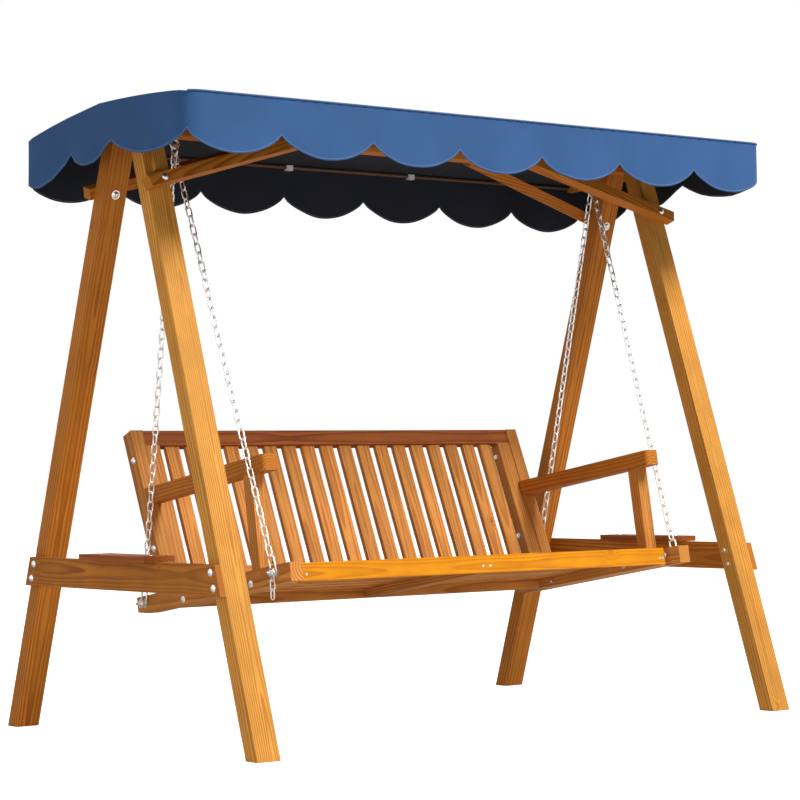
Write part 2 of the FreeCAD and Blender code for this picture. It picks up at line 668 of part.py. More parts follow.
BACK_FACE = 4
BOTTOM_RAIL_LOW = 20
back_width = "2 * (Dims.bench_half - Dims.rail_thick)"
top_rail_low = D["back_long"] - D["back_rail_high"]
bottom_rail_top = BOTTOM_RAIL_LOW + D["back_rail_high"]
rail_x = -RAIL_INNER
top_rail = back_board(
    "top_rail", back_width, "Dims.back_rail_deep", "Dims.back_rail_high", rail_x, BACK_FACE, top_rail_low
)
keep(top_rail, "back_top_rail")
end_wide = D["end_board_wide"]
between = "2 * (Dims.bench_half - Dims.rail_thick - Dims.end_board_wide)"
bottom_rail = back_board(
    "bottom_rail", between, "Dims.back_rail_deep", "Dims.back_rail_high", rail_x + end_wide, BACK_FACE, BOTTOM_RAIL_LOW
)
keep(bottom_rail, "back_bottom_rail")
slat_length = f"Dims.back_long - 2 * Dims.back_rail_high - {BOTTOM_RAIL_LOW}"
for name, side in SIDES:
    x = side * RAIL_INNER - (end_wide if side > 0 else 0)
    end_length = f"Dims.back_long - Dims.back_rail_high - {BOTTOM_RAIL_LOW}"
    blank = back_board(
        "end_board", "Dims.end_board_wide", "Dims.end_board_deep", end_length, x, BACK_FACE, BOTTOM_RAIL_LOW
    )
    holes = []
    for height in BACK_BOLTS:
        start = BACK.multVec(V(side * RAIL_INNER, BACK_BOLT_DEEP, height))
        holes.append((start, V(-side, 0, 0), end_wide, BOLT_HOLE))
    keep(drilled(blank, holes), "back_end_board_" + name)

SLAT_FACE = BACK_FACE + 8
BACK_GAP = f"({between} - Dims.back_slats * Dims.back_slat_wide) / (Dims.back_slats + 1)"
back_slat_corners = (
    (BACK_GAP, str(SLAT_FACE)),
    (f"{BACK_GAP} + Dims.back_slat_wide", str(SLAT_FACE)),
    (f"{BACK_GAP} + Dims.back_slat_wide", f"{SLAT_FACE} + Dims.back_slat_thick"),
    (BACK_GAP, f"{SLAT_FACE} + Dims.back_slat_thick"),
)
back_slat_place = BACK.multiply(Placement(V(rail_x + end_wide, 0, bottom_rail_top), Rotation()))
back_slats = outline_body("back_slat", "XY_Plane", back_slat_corners, slat_length, back_slat_place)
repeat(back_slats, "X_Axis", f"Dims.back_slat_wide + {BACK_GAP}", "Dims.back_slats")
keep(back_slats, "back_slats")

LINK_X = D["bench_half"] + D["washer_thick"] + D["clip_wire"] / 2 + 1
TIP_X = D["bench_half"] + 30
chain_bolt = dome_bolt("chain_bolt", TIP_X - RAIL_INNER + D["washer_thick"])
bearer_bolt = dome_bolt("bearer_bolt", D["rail_thick"] + D["bearer_wide"] + NUT_TAIL)
back_bolt = dome_bolt("back_bolt", D["rail_thick"] + end_wide + NUT_TAIL)
doc.recompute()
bench_bolts = []
bench_nuts = []
bench_washers = []
OUTER_WASHER = D["bench_half"] + 15
for name, side in SIDES:
    out = V(side, 0, 0)
    for label, y, z in CHAIN_BOLTS:
        bench_washers.append(placed(washer, on_bench(side * RAIL_INNER, y, z), out * -1))
        head = on_bench(side * (RAIL_INNER - D["washer_thick"]), y, z)
        bench_bolts.append(placed(chain_bolt, head, out * -1))
        bench_washers.append(placed(washer, on_bench(side * D["bench_half"], y, z), out))
        bench_washers.append(placed(washer, on_bench(side * OUTER_WASHER, y, z), out))
        bench_nuts.append(placed(nut, on_bench(side * (OUTER_WASHER + D["washer_thick"]), y, z), out))
    for y, z in BEARER_BOLTS:
        bench_bolts.append(placed(bearer_bolt, on_bench(side * D["bench_half"], y, z), out))
        bench_nuts.append(placed(nut, on_bench(side * (RAIL_INNER - D["bearer_wide"]), y, z), out * -1))
    for height in BACK_BOLTS:
        seat = BACK.multVec(V(side * D["bench_half"], BACK_BOLT_DEEP, height))
        bench_bolts.append(placed(back_bolt, seat, out))
        bench_nuts.append(placed(nut, seat - out * (D["rail_thick"] + end_wide), out * -1))
fasteners("bench_bolts", bench_bolts)
fasteners("bench_nuts", bench_nuts)
fasteners("bench_washers", bench_washers)

SCREW_Z = 20
front_out = BENCH.Rotation.multVec(V(0, -1, 0))
slat_screws = []
slat_end = D["front_slat_half"]
for x in (-slat_end + 13, -38, -12, slat_end - 18, slat_end - 5):
    where = on_bench(x, BEARER_START - D["front_slat_thick"], SCREW_Z)
    slat_screws.append(placed(screw, where, front_out))
seat_up = BENCH.Rotation.multVec(Z_AXIS)
for i in range(int(D["seat_slats"])):
    y = SEAT_SLAT_START + D["seat_slat_wide"] / 2 + i * D["seat_slat_pitch"]
    for x in (-RAIL_INNER + D["bearer_wide"] / 2 + 8, MID_BEARER, RAIL_INNER - D["bearer_wide"] / 2 - 8):
        slat_screws.append(placed(screw, on_bench(x, y, D["rail_high"]), seat_up))
for name, side in SIDES:
    x = side * (D["bench_half"] - D["rail_thick"] / 2)
    y = D["post_front"] + D["post_deep"] / 2
    slat_screws.append(placed(screw, on_bench(x, y, D["arm_low"] + D["arm_high"]), seat_up))
fasteners("bench_screws", slat_screws)

# ---------------------------------------------------------------- chains

RING_DROP = D["ring_radius"] - D["ring_wire"] / 2 - D["eye_wire"] / 2 - D["chain_gap"]
RING_Z = HINGE_Z - RING_DROP


def stadium_link(wire, wide, long):
    """A closed link along Z, in the XZ plane, centred on the origin."""
    bend = (wide - wire) / 2
    half = (long - wire) / 2 - bend
    path = [
        Part.LineSegment(V(-bend, 0, -half), V(-bend, 0, half)),
        Part.Arc(V(-bend, 0, half), V(0, 0, half + bend), V(bend, 0, half)),
        Part.LineSegment(V(bend, 0, half), V(bend, 0, -half)),
        Part.Arc(V(bend, 0, -half), V(0, 0, -half - bend), V(-bend, 0, -half)),
    ]
    loop = Part.Wire([piece.toShape() for piece in path])
    start = Part.Wire([Part.Circle(V(-bend, 0, -half), Z_AXIS, wire / 2).toShape()])
    solid = loop.makePipeShell([start], True, True)
    if not solid.isValid() or solid.Volume <= 0:
        raise RuntimeError("a chain link did not close")
    return solid


def chain_frame(down, flat):
    """Turn a link so that it runs along the chain; flat links lie across it."""
    across = (X_AXIS - down * X_AXIS.dot(down)).normalize()
    other = down.cross(across)
    wide_axis = across if flat else other
    thick_axis = down.cross(wide_axis)
    turn = FreeCAD.Matrix()
    turn.A11, turn.A21, turn.A31 = wide_axis.x, wide_axis.y, wide_axis.z
    turn.A12, turn.A22, turn.A32 = thick_axis.x, thick_axis.y, thick_axis.z
    turn.A13, turn.A23, turn.A33 = down.x, down.y, down.z
    return Placement(turn).Rotation


def hang(link, centre, down, flat):
    """A copy of a link at a place on the chain."""
    copy = link.copy()
    copy.Placement = Placement(centre, chain_frame(down, flat))
    return copy


def chain(label, top, bottom):
    """Small links from the ring, then one long connecting link round the bolt."""
    line = bottom - top
    reach = line.Length
    down = V(line).normalize()
    wire = D["link_wire"]
    first = D["ring_radius"] - D["ring_wire"] / 2 - wire / 2 - D["chain_gap"]
    clip_run = D["clip_long"] - D["clip_wire"]
    end = reach + D["bolt_dia"] / 2 + D["clip_wire"] / 2 + D["chain_gap"]
    nest = (wire + D["clip_wire"]) / 2
    small = end - clip_run - first - wire + nest
    count = 2 * round((small / D["link_pitch"] - 1) / 2) + 1
    pitch = small / count
    link = stadium_link(wire, D["link_wide"], pitch + D["chain_gap"] + 2 * wire)
    half_run = (pitch + D["chain_gap"] + wire) / 2
    links = []
    for i in range(count):
        links.append(hang(link, top + down * (first + half_run + i * pitch), down, i % 2 == 0))
    clip = stadium_link(D["clip_wire"], D["clip_wide"], D["clip_long"])
    links.append(hang(clip, top + down * (end - clip_run / 2), down, False))
    piece = doc.addObject("Part::Feature", spaced("chain"))
    piece.Shape = Part.makeCompound(links)
    keep(piece, label)
    return count, pitch


rings = []
for name, side in SIDES:
    ring = doc.addObject("Part::Torus", spaced("ring"))
    bind(ring, Radius1="Dims.ring_radius", Radius2="Dims.ring_wire / 2")
    ring.Placement = Placement(V(side * HANGER_X, 0, RING_Z), Rotation(Y_AXIS, 90))
    rings.append(ring)
    for end_name, y, z in CHAIN_BOLTS:
        top = V(side * HANGER_X, 0, RING_Z)
        count, pitch = chain(f"chain_{end_name}_{name}", top, on_bench(side * LINK_X, y, z))
        print("chain", end_name, name, "links", count, "pitch", round(pitch, 3))
cluster("chain_rings", rings)

SPARE_LINKS = 3
SPARE_X = LINK_X + (D["clip_wire"] + D["link_wire"]) / 2 + 0.7
label, y, z = CHAIN_BOLTS[0]
spare_top = on_bench(-SPARE_X, y, z)
spare_link = stadium_link(D["link_wire"], D["link_wide"], D["link_pitch"] + D["chain_gap"] + 2 * D["link_wire"])
run = (D["link_pitch"] + D["chain_gap"] + D["link_wire"]) / 2
spares = []
for i in range(SPARE_LINKS):
    centre = spare_top + V(0, 0, D["bolt_dia"] / 2 + D["link_wire"] / 2 + D["chain_gap"] - run - i * D["link_pitch"])
    spares.append(hang(spare_link, centre, V(0, 0, -1), i % 2 == 1))
fasteners("chain_tail", spares)

# ---------------------------------------------------------------- canopy

RIDGE = (-D["roof_ridge"], D["roof_ridge_z"])
FRONT = (-D["roof_front"], D["roof_front_z"])
REAR = (D["roof_back"], D["roof_back_z"])


def roof_height(y):
    """Outer height of the roof at a depth."""
    low, high = (FRONT, RIDGE) if y < RIDGE[0] else (RIDGE, REAR)
    return low[1] + (high[1] - low[1]) * (y - low[0]) / (high[0] - low[0])


def scalloped(points_along, count, first_phase=0.0):
    """Lower edge of a valance as arcs: list of edges in (along, depth) space."""
    edges = []
    for i in range(count):
        a = points_along[i]
        b = points_along[i + 1]
        edges.append((a, (a + b) / 2, b))
    return edges


def long_valance(y_outer, y_inner, top, cusp, low):
    """A long scalloped wall between two depths."""
    half = D["roof_half"]
    step = 2 * half / D["scallops"]
    edges = [Part.makeLine(V(-half, y_outer, cusp), V(-half, y_outer, top))]
    edges.append(Part.makeLine(V(-half, y_outer, top), V(half, y_outer, top)))
    edges.append(Part.makeLine(V(half, y_outer, top), V(half, y_outer, cusp)))
    for i in range(int(D["scallops"])):
        a = half - i * step
        b = a - step
        edges.append(Part.Arc(V(a, y_outer, cusp), V((a + b) / 2, y_outer, low), V(b, y_outer, cusp)).toShape())
    face = Part.Face(Part.Wire(edges))
    return face.extrude(V(0, y_inner - y_outer, 0))


SIDE_CUSPS = (-D["roof_front"], -110, 94, D["roof_back"])


def side_valance(x_outer, x_inner):
    """An end wall that follows the roof's arch, with its own scallops."""
    ys = list(SIDE_CUSPS)
    top = [V(x_outer, y, roof_height(y)) for y in (ys[0], RIDGE[0], ys[-1])]
    down = D["valance_cusp"]
    deep = D["valance_low"]
    edges = [Part.makeLine(top[0], top[1]), Part.makeLine(top[1], top[2])]
    edges.append(Part.makeLine(top[2], V(x_outer, ys[-1], roof_height(ys[-1]) - down)))
    for a, b in zip(reversed(ys), list(reversed(ys))[1:]):
        middle = (a + b) / 2
        start = V(x_outer, a, roof_height(a) - down)
        lowest = V(x_outer, middle, roof_height(middle) - deep)
        stop = V(x_outer, b, roof_height(b) - down)
        edges.append(Part.Arc(start, lowest, stop).toShape())
    edges.append(Part.makeLine(V(x_outer, ys[0], roof_height(ys[0]) - down), top[0]))
    face = Part.Face(Part.Wire(edges))
    return face.extrude(V(x_inner - x_outer, 0, 0))


cloth = D["cloth"]
half = D["roof_half"]
roof_outline = [V(-half, y, z) for y, z in (FRONT, RIDGE, REAR)]
roof_outline += [V(-half, y, z - cloth) for y, z in (REAR, RIDGE, FRONT)]
roof = Part.Face(Part.makePolygon(roof_outline + roof_outline[:1])).extrude(V(2 * half, 0, 0))
front_cusp = FRONT[1] - D["valance_cusp"]
front_low = FRONT[1] - D["valance_low"]
rear_cusp = REAR[1] - D["valance_cusp"]
rear_low = REAR[1] - D["valance_low"]
walls = [
    long_valance(FRONT[0], FRONT[0] + cloth, FRONT[1] - cloth / 2, front_cusp, front_low),
    long_valance(REAR[0], REAR[0] - cloth, REAR[1] - cloth / 2, rear_cusp, rear_low),
    side_valance(-half, -half + cloth),
    side_valance(half, half - cloth),
]
canopy = doc.addObject("Part::Feature", "canopy_cloth")
canopy.Shape = roof.multiFuse(walls).removeSplitter()
keep(canopy, "canopy_cloth")

POLE_R = D["pole_dia"] / 2
ARM_X = D["beam_half"] + 5
CLEAR = 0.5
# The poles end flush inside the side arms.
POLE_HALF = ARM_X + 15
along = Rotation(Y_AXIS, 90)


def pole(label, y, z):
    bar = rod(label, "Dims.pole_dia / 2", str(2 * POLE_HALF), Placement(V(-POLE_HALF, y, z), along))
    return keep(bar, label)


FRONT_POLE_Y = FRONT[0] + cloth + POLE_R + CLEAR
REAR_POLE_Y = REAR[0] - cloth - POLE_R - CLEAR
drop = cloth + POLE_R + CLEAR
FRONT_POLE_Z = roof_height(FRONT_POLE_Y) - drop
REAR_POLE_Z = roof_height(REAR_POLE_Y) - drop
RIDGE_POLE_Z = RIDGE[1] - drop
pole("canopy_pole_front", FRONT_POLE_Y, FRONT_POLE_Z)
pole("canopy_pole_ridge", RIDGE[0], RIDGE_POLE_Z)
pole("canopy_pole_rear", REAR_POLE_Y, REAR_POLE_Z)

arm_high = D["roof_arm_high"]
arm_top = [
    (FRONT_POLE_Y - 3, FRONT_POLE_Z + 2),
    (RIDGE[0], RIDGE_POLE_Z + 2),
    (REAR_POLE_Y + 3, REAR_POLE_Z + 2),
]
arm_low = [(REAR_POLE_Y + 3, REAR_POLE_Z - 14), (0, BEAM_PIVOT_Z - 22), (FRONT_POLE_Y - 3, FRONT_POLE_Z - 14)]
for name, side in SIDES:
    low = ARM_X if side > 0 else -ARM_X - D["roof_arm_thick"]
    corners = tuple((str(y), str(z)) for y, z in arm_top + arm_low)
    blank = outline_body("roof_arm", "YZ_Plane", corners, "Dims.roof_arm_thick", Placement(V(low, 0, 0), Rotation()))
    through = D["roof_arm_thick"]
    holes = [(V(low, 0, BEAM_PIVOT_Z), X_AXIS, through, BOLT_HOLE)]
    for y, z in ((FRONT_POLE_Y, FRONT_POLE_Z), (RIDGE[0], RIDGE_POLE_Z), (REAR_POLE_Y, REAR_POLE_Z)):
        holes.append((V(low, y, z), X_AXIS, through, "Dims.pole_dia / 2 + 0.05"))
    keep(drilled(blank, holes), "canopy_arm_" + name)

pivot_bolt = dome_bolt("pivot_bolt", ARM_X + D["roof_arm_thick"] - D["beam_half"] + PIVOT_SHANK - 2)
doc.recompute()
pivots = []
for name, side in SIDES:
    seat = V(side * (ARM_X + D["roof_arm_thick"]), 0, BEAM_PIVOT_Z)
    pivots.append(placed(pivot_bolt, seat, V(side, 0, 0)))
fasteners("canopy_pivot_bolts", pivots)

clips = []
CLIP_HALF = 11
for x in (-140, 327):
    block = doc.addObject("Part::Box", spaced("clip_block"))
    block.Length = 2 * CLIP_HALF
    block.Width = D["pole_dia"] + 4
    block.Height = D["pole_dia"] + 4
    corner = V(x - CLIP_HALF, REAR_POLE_Y - POLE_R - 4.5, REAR_POLE_Z - POLE_R - 4.5)
    block.Placement = Placement(corner, Rotation())
    bore = (V(x - CLIP_HALF, REAR_POLE_Y, REAR_POLE_Z), X_AXIS, 2 * CLIP_HALF, "Dims.pole_dia / 2 + 0.05")
    clips.append(drilled(block, [bore]))
cluster("canopy_clips", clips)

# ---------------------------------------------------------------- checks and export

doc.recompute()
for thing in doc.Objects:
    if "Invalid" in thing.State or "Error" in thing.State:
        raise RuntimeError("object failed: " + thing.Label)
os.makedirs("parts", exist_ok=True)
for thing in nodes:
    shape = thing.Shape
    if shape.isNull() or not shape.isValid():
        raise RuntimeError("bad shape: " + thing.Label)
    shape.exportStep("parts/" + thing.Label + ".step")
print("nodes", len(nodes))
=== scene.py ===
"""Looks of the porch swing: stained larch, bright zinc chain and a scalloped blue canopy.

Metres throughout, +X along the bench, -Y the front, +Z up, in the part's own frame.
"""

import math

import bmesh
import bpy
from mathutils import Euler, Matrix, Vector


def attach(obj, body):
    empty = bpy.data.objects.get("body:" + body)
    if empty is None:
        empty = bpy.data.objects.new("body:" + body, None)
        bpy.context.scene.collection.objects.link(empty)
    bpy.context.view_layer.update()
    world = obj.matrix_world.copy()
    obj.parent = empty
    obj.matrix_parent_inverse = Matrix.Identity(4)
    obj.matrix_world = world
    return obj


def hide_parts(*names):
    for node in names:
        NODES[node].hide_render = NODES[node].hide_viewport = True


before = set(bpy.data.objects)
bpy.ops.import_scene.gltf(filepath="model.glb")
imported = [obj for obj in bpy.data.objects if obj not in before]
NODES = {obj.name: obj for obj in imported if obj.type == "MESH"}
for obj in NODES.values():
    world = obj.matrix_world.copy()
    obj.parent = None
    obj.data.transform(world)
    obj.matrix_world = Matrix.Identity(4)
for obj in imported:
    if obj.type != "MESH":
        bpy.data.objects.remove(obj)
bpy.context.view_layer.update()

# ------------------------------------------------------------------ timber angles, in degrees

LEG_LEAN = math.degrees(math.atan(0.33))
SEAT_TILT = 9.0
BACK_LEAN = 23.0
STRUT_RISE = 15.6

# ------------------------------------------------------------------ chain sizes

HANGER = Vector((0.775, 0.0, 1.6033))
BENCH_CORNER = Vector((0.0, -0.45885, 0.435))
LINK_SIDE = 0.72575
CHAIN_BOLTS = {"front": (0.065, 0.030), "rear": (0.712, 0.028)}
RING_RADIUS = 0.014
RING_WIRE = 0.006
BOLT = 0.008
LINK_WIRE = 0.0045
LINK_WIDE = 0.0205
LINK_PITCH = 0.0275
JOINER_WIRE = 0.0055
JOINER_WIDE = 0.030
JOINER_LONG = 0.062
PLAY = 0.0003
LOOP_POINTS = 16
WIRE_POINTS = 8

# ------------------------------------------------------------------ canopy sizes, roof lines as (Y, Z)

ROOF_HALF = 1.050
ROOF_FRONT = (-0.478, 1.692)
ROOF_RIDGE = (-0.060, 1.706)
ROOF_BACK = (0.362, 1.639)
CUSP_DROP = 0.098
SCALLOP_DROP = 0.155
FRONT_SCALLOPS = 7
LONG_CUSPS = [-ROOF_HALF + 2 * ROOF_HALF * i / FRONT_SCALLOPS for i in range(FRONT_SCALLOPS + 1)]
END_CUSPS = (-0.478, -0.110, 0.094, 0.362)
CLOTH = 0.0016
CORNER_ROUND = 0.055
ARCH = 0.0055
SAG = 0.0035
SAG_RIPPLE = 0.0010
FLARE_LONG = 0.010
FLARE_END = 0.009
ROOF_CREASE = 0.0012
COLUMNS_EACH = 24
ROWS_EACH = 14
DROP_SHARES = (0.15, 0.32, 0.5, 0.68, 0.85)
EDGE_STEPS = (0.0, 0.004, 0.010)
HEM_STEPS = (0.016, 0.011, 0.006, 0.0)
LEVELS = len(EDGE_STEPS) + len(DROP_SHARES) + len(HEM_STEPS)
END_HALF = 0.42
END_FOLDS = 1.7
END_UV = 3.0
PIPING = 0.0028
PIPING_LIFT = 0.0008
PIPING_STEPS = 70

# ------------------------------------------------------------------ camera and light values

CAMERA_PLACE = (-4.53955, -5.83259, 0.73614)
CAMERA_YAW = 0.66220
CAMERA_PITCH = 0.07239
CAMERA_ROLL = -0.01268
CAMERA_LENS = 113.602725
CAMERA_SHIFT = -0.15
SEEN_WHITE = 1.0
SOFT_WHITE = 0.40
PAPER_GLOW = 1.0
FLOOR_HALF = 14.0
FLOOR_GAP = 0.0005

# ------------------------------------------------------------------ camera, light and floor


def photographer():
    """The camera stands low, to the bench's left front."""
    yaw, pitch, roll = CAMERA_YAW, CAMERA_PITCH, CAMERA_ROLL
    ahead = Vector((math.sin(yaw) * math.cos(pitch), math.cos(yaw) * math.cos(pitch), math.sin(pitch)))
    right = Vector((math.cos(yaw), -math.sin(yaw), 0.0))
    up = right.cross(ahead)
    right, up = (
        right * math.cos(roll) + up * math.sin(roll),
        up * math.cos(roll) - right * math.sin(roll),
    )
    data = bpy.data.cameras.new("camera")
    data.lens = CAMERA_LENS
    data.sensor_width = 36
    data.shift_y = CAMERA_SHIFT
    data.clip_end = 200
    data.dof.use_dof = False
    camera = bpy.data.objects.new("camera", data)
    turn = Matrix((right, up, -ahead)).transposed().to_4x4()
    camera.matrix_world = Matrix.Translation(CAMERA_PLACE) @ turn
    bpy.context.collection.objects.link(camera)
    bpy.context.scene.camera = camera


def softbox(name, place, target, size, power, tint):
    """A large soft lamp aimed at a point."""
    data = bpy.data.lights.new(name, "AREA")
    data.shape = "RECTANGLE"
    data.size = data.size_y = size
    data.energy = power
    data.color = tint
    lamp = bpy.data.objects.new(name, data)
    lamp.location = place
    lamp.rotation_euler = (Vector(target) - Vector(place)).to_track_quat("-Z", "Y").to_euler()
    bpy.context.collection.objects.link(lamp)


def studio():
    """Pale world, one big key lamp and a low fill, with plain tones so that the stain keeps its colour."""
    bpy.context.scene.view_settings.view_transform = "Standard"
    world = bpy.data.worlds.new("studio")
    world.use_nodes = True
    sky = world.node_tree.nodes["Background"]
    sky.inputs["Color"].default_value = (1.0, 1.0, 1.0, 1)
    w = Wiring(world.node_tree)
    path = w.add("ShaderNodeLightPath").outputs
    seen = w.sum("MAXIMUM", path["Is Camera Ray"], path["Is Glossy Ray"])
    w.feed(sky, "Strength", w.span(seen, 0.0, 1.0, SOFT_WHITE, SEEN_WHITE, False))
    bpy.context.scene.world = world
    softbox("key_lamp", (1.8, -5.4, 6.4), (0.3, 0, 0.9), 2.4, 680, (1.0, 0.98, 0.95))
    softbox("fill_lamp", (-5.0, -2.0, 0.9), (0, 0, 0.5), 3.0, 50, (1.0, 1.0, 1.0))


def paper_floor():
    """A flat pale floor, just under the feet."""
    square = ((-1, -1), (1, -1), (1, 1), (-1, 1))
    corners = [(x * FLOOR_HALF, y * FLOOR_HALF, -FLOOR_GAP) for x, y in square]
    mesh = bpy.data.meshes.new("floor")
    mesh.from_pydata(corners, [], [(0, 1, 2, 3)])
    floor = bpy.data.objects.new("floor", mesh)
    bpy.context.collection.objects.link(floor)
    paper = bpy.data.materials.new("paper")
    paper.use_nodes = True
    shader = paper.node_tree.nodes["Principled BSDF"]
    shader.inputs["Base Color"].default_value = (0.6, 0.6, 0.6, 1)
    shader.inputs["Roughness"].default_value = 0.9
    shader.inputs["Emission Color"].default_value = (1, 1, 1, 1)
    w = Wiring(paper.node_tree)
    seen = w.add("ShaderNodeLightPath").outputs["Is Camera Ray"]
    w.feed(shader, "Emission Strength", w.span(seen, 0.0, 1.0, 0.0, PAPER_GLOW, False))
    mesh.materials.append(paper)


# ------------------------------------------------------------------ node groups


def node_group(name, kind, inputs, outputs):
    """An empty node group with named sockets: (name, type, default) going in, (name, type) coming out."""
    group = bpy.data.node_groups.new(name, kind)
    for label, form, value in inputs:
        socket = group.interface.new_socket(label, in_out="INPUT", socket_type=form)
        if value is not None:
            socket.default_value = value
    for label, form in outputs:
        group.interface.new_socket(label, in_out="OUTPUT", socket_type=form)
    source = group.nodes.new("NodeGroupInput")
    sink = group.nodes.new("NodeGroupOutput")
    return group, source, sink


class Wiring:
    """Short words for adding nodes to one tree and joining them."""

    def __init__(self, tree):
        self.tree = tree

    def add(self, kind, settings=None, **inputs):
        """A node of one kind, its settings, and what goes into its sockets (an underscore is a space)."""
        node = self.tree.nodes.new(kind)
        for key, value in (settings or {}).items():
            setattr(node, key, value)
        for key, value in inputs.items():
            self.feed(node, key.replace("_", " "), value)
        return node

    def feed(self, node, socket, value):
        """Join a socket to an input, or set the input to a plain value."""
        target = node.inputs[socket]
        if isinstance(value, bpy.types.NodeSocket):
            self.tree.links.new(value, target)
        else:
            target.default_value = value

    def sum(self, operation, a, b=None):
        """One step of arithmetic."""
        node = self.add("ShaderNodeMath", {"operation": operation})
        self.feed(node, 0, a)
        if b is not None:
            self.feed(node, 1, b)
        return node.outputs[0]

    def vector(self, operation, a, b):
        """One step of arithmetic on vectors."""
        node = self.add("ShaderNodeVectorMath", {"operation": operation})
        self.feed(node, 0, a)
        self.feed(node, 1, b)
        return node.outputs[0]

    def span(self, value, low, high, start=0.0, end=1.0, smooth=True):
        """Carry a value from one range to another, held at both ends."""
        kind = "SMOOTHSTEP" if smooth else "LINEAR"
        node = self.add("ShaderNodeMapRange", {"interpolation_type": kind})
        for i, entry in enumerate((value, low, high, start, end)):
            self.feed(node, i, entry)
        return node.outputs[0]

    def mix(self, factor, a, b, blend="MIX"):
        """Blend two colours."""
        node = self.add("ShaderNodeMix", {"data_type": "RGBA", "blend_type": blend})
        self.feed(node, 0, factor)
        self.feed(node, 6, a)
        self.feed(node, 7, b)
        return node.outputs[2]

    def grey(self, value):
        """A colour with the same value in each channel."""
        return self.add("ShaderNodeCombineColor", Red=value, Green=value, Blue=value).outputs[0]


SKIN_OUTPUTS = (
    ("Color", "NodeSocketColor"),
    ("Roughness", "NodeSocketFloat"),
    ("Height", "NodeSocketFloat"),
)


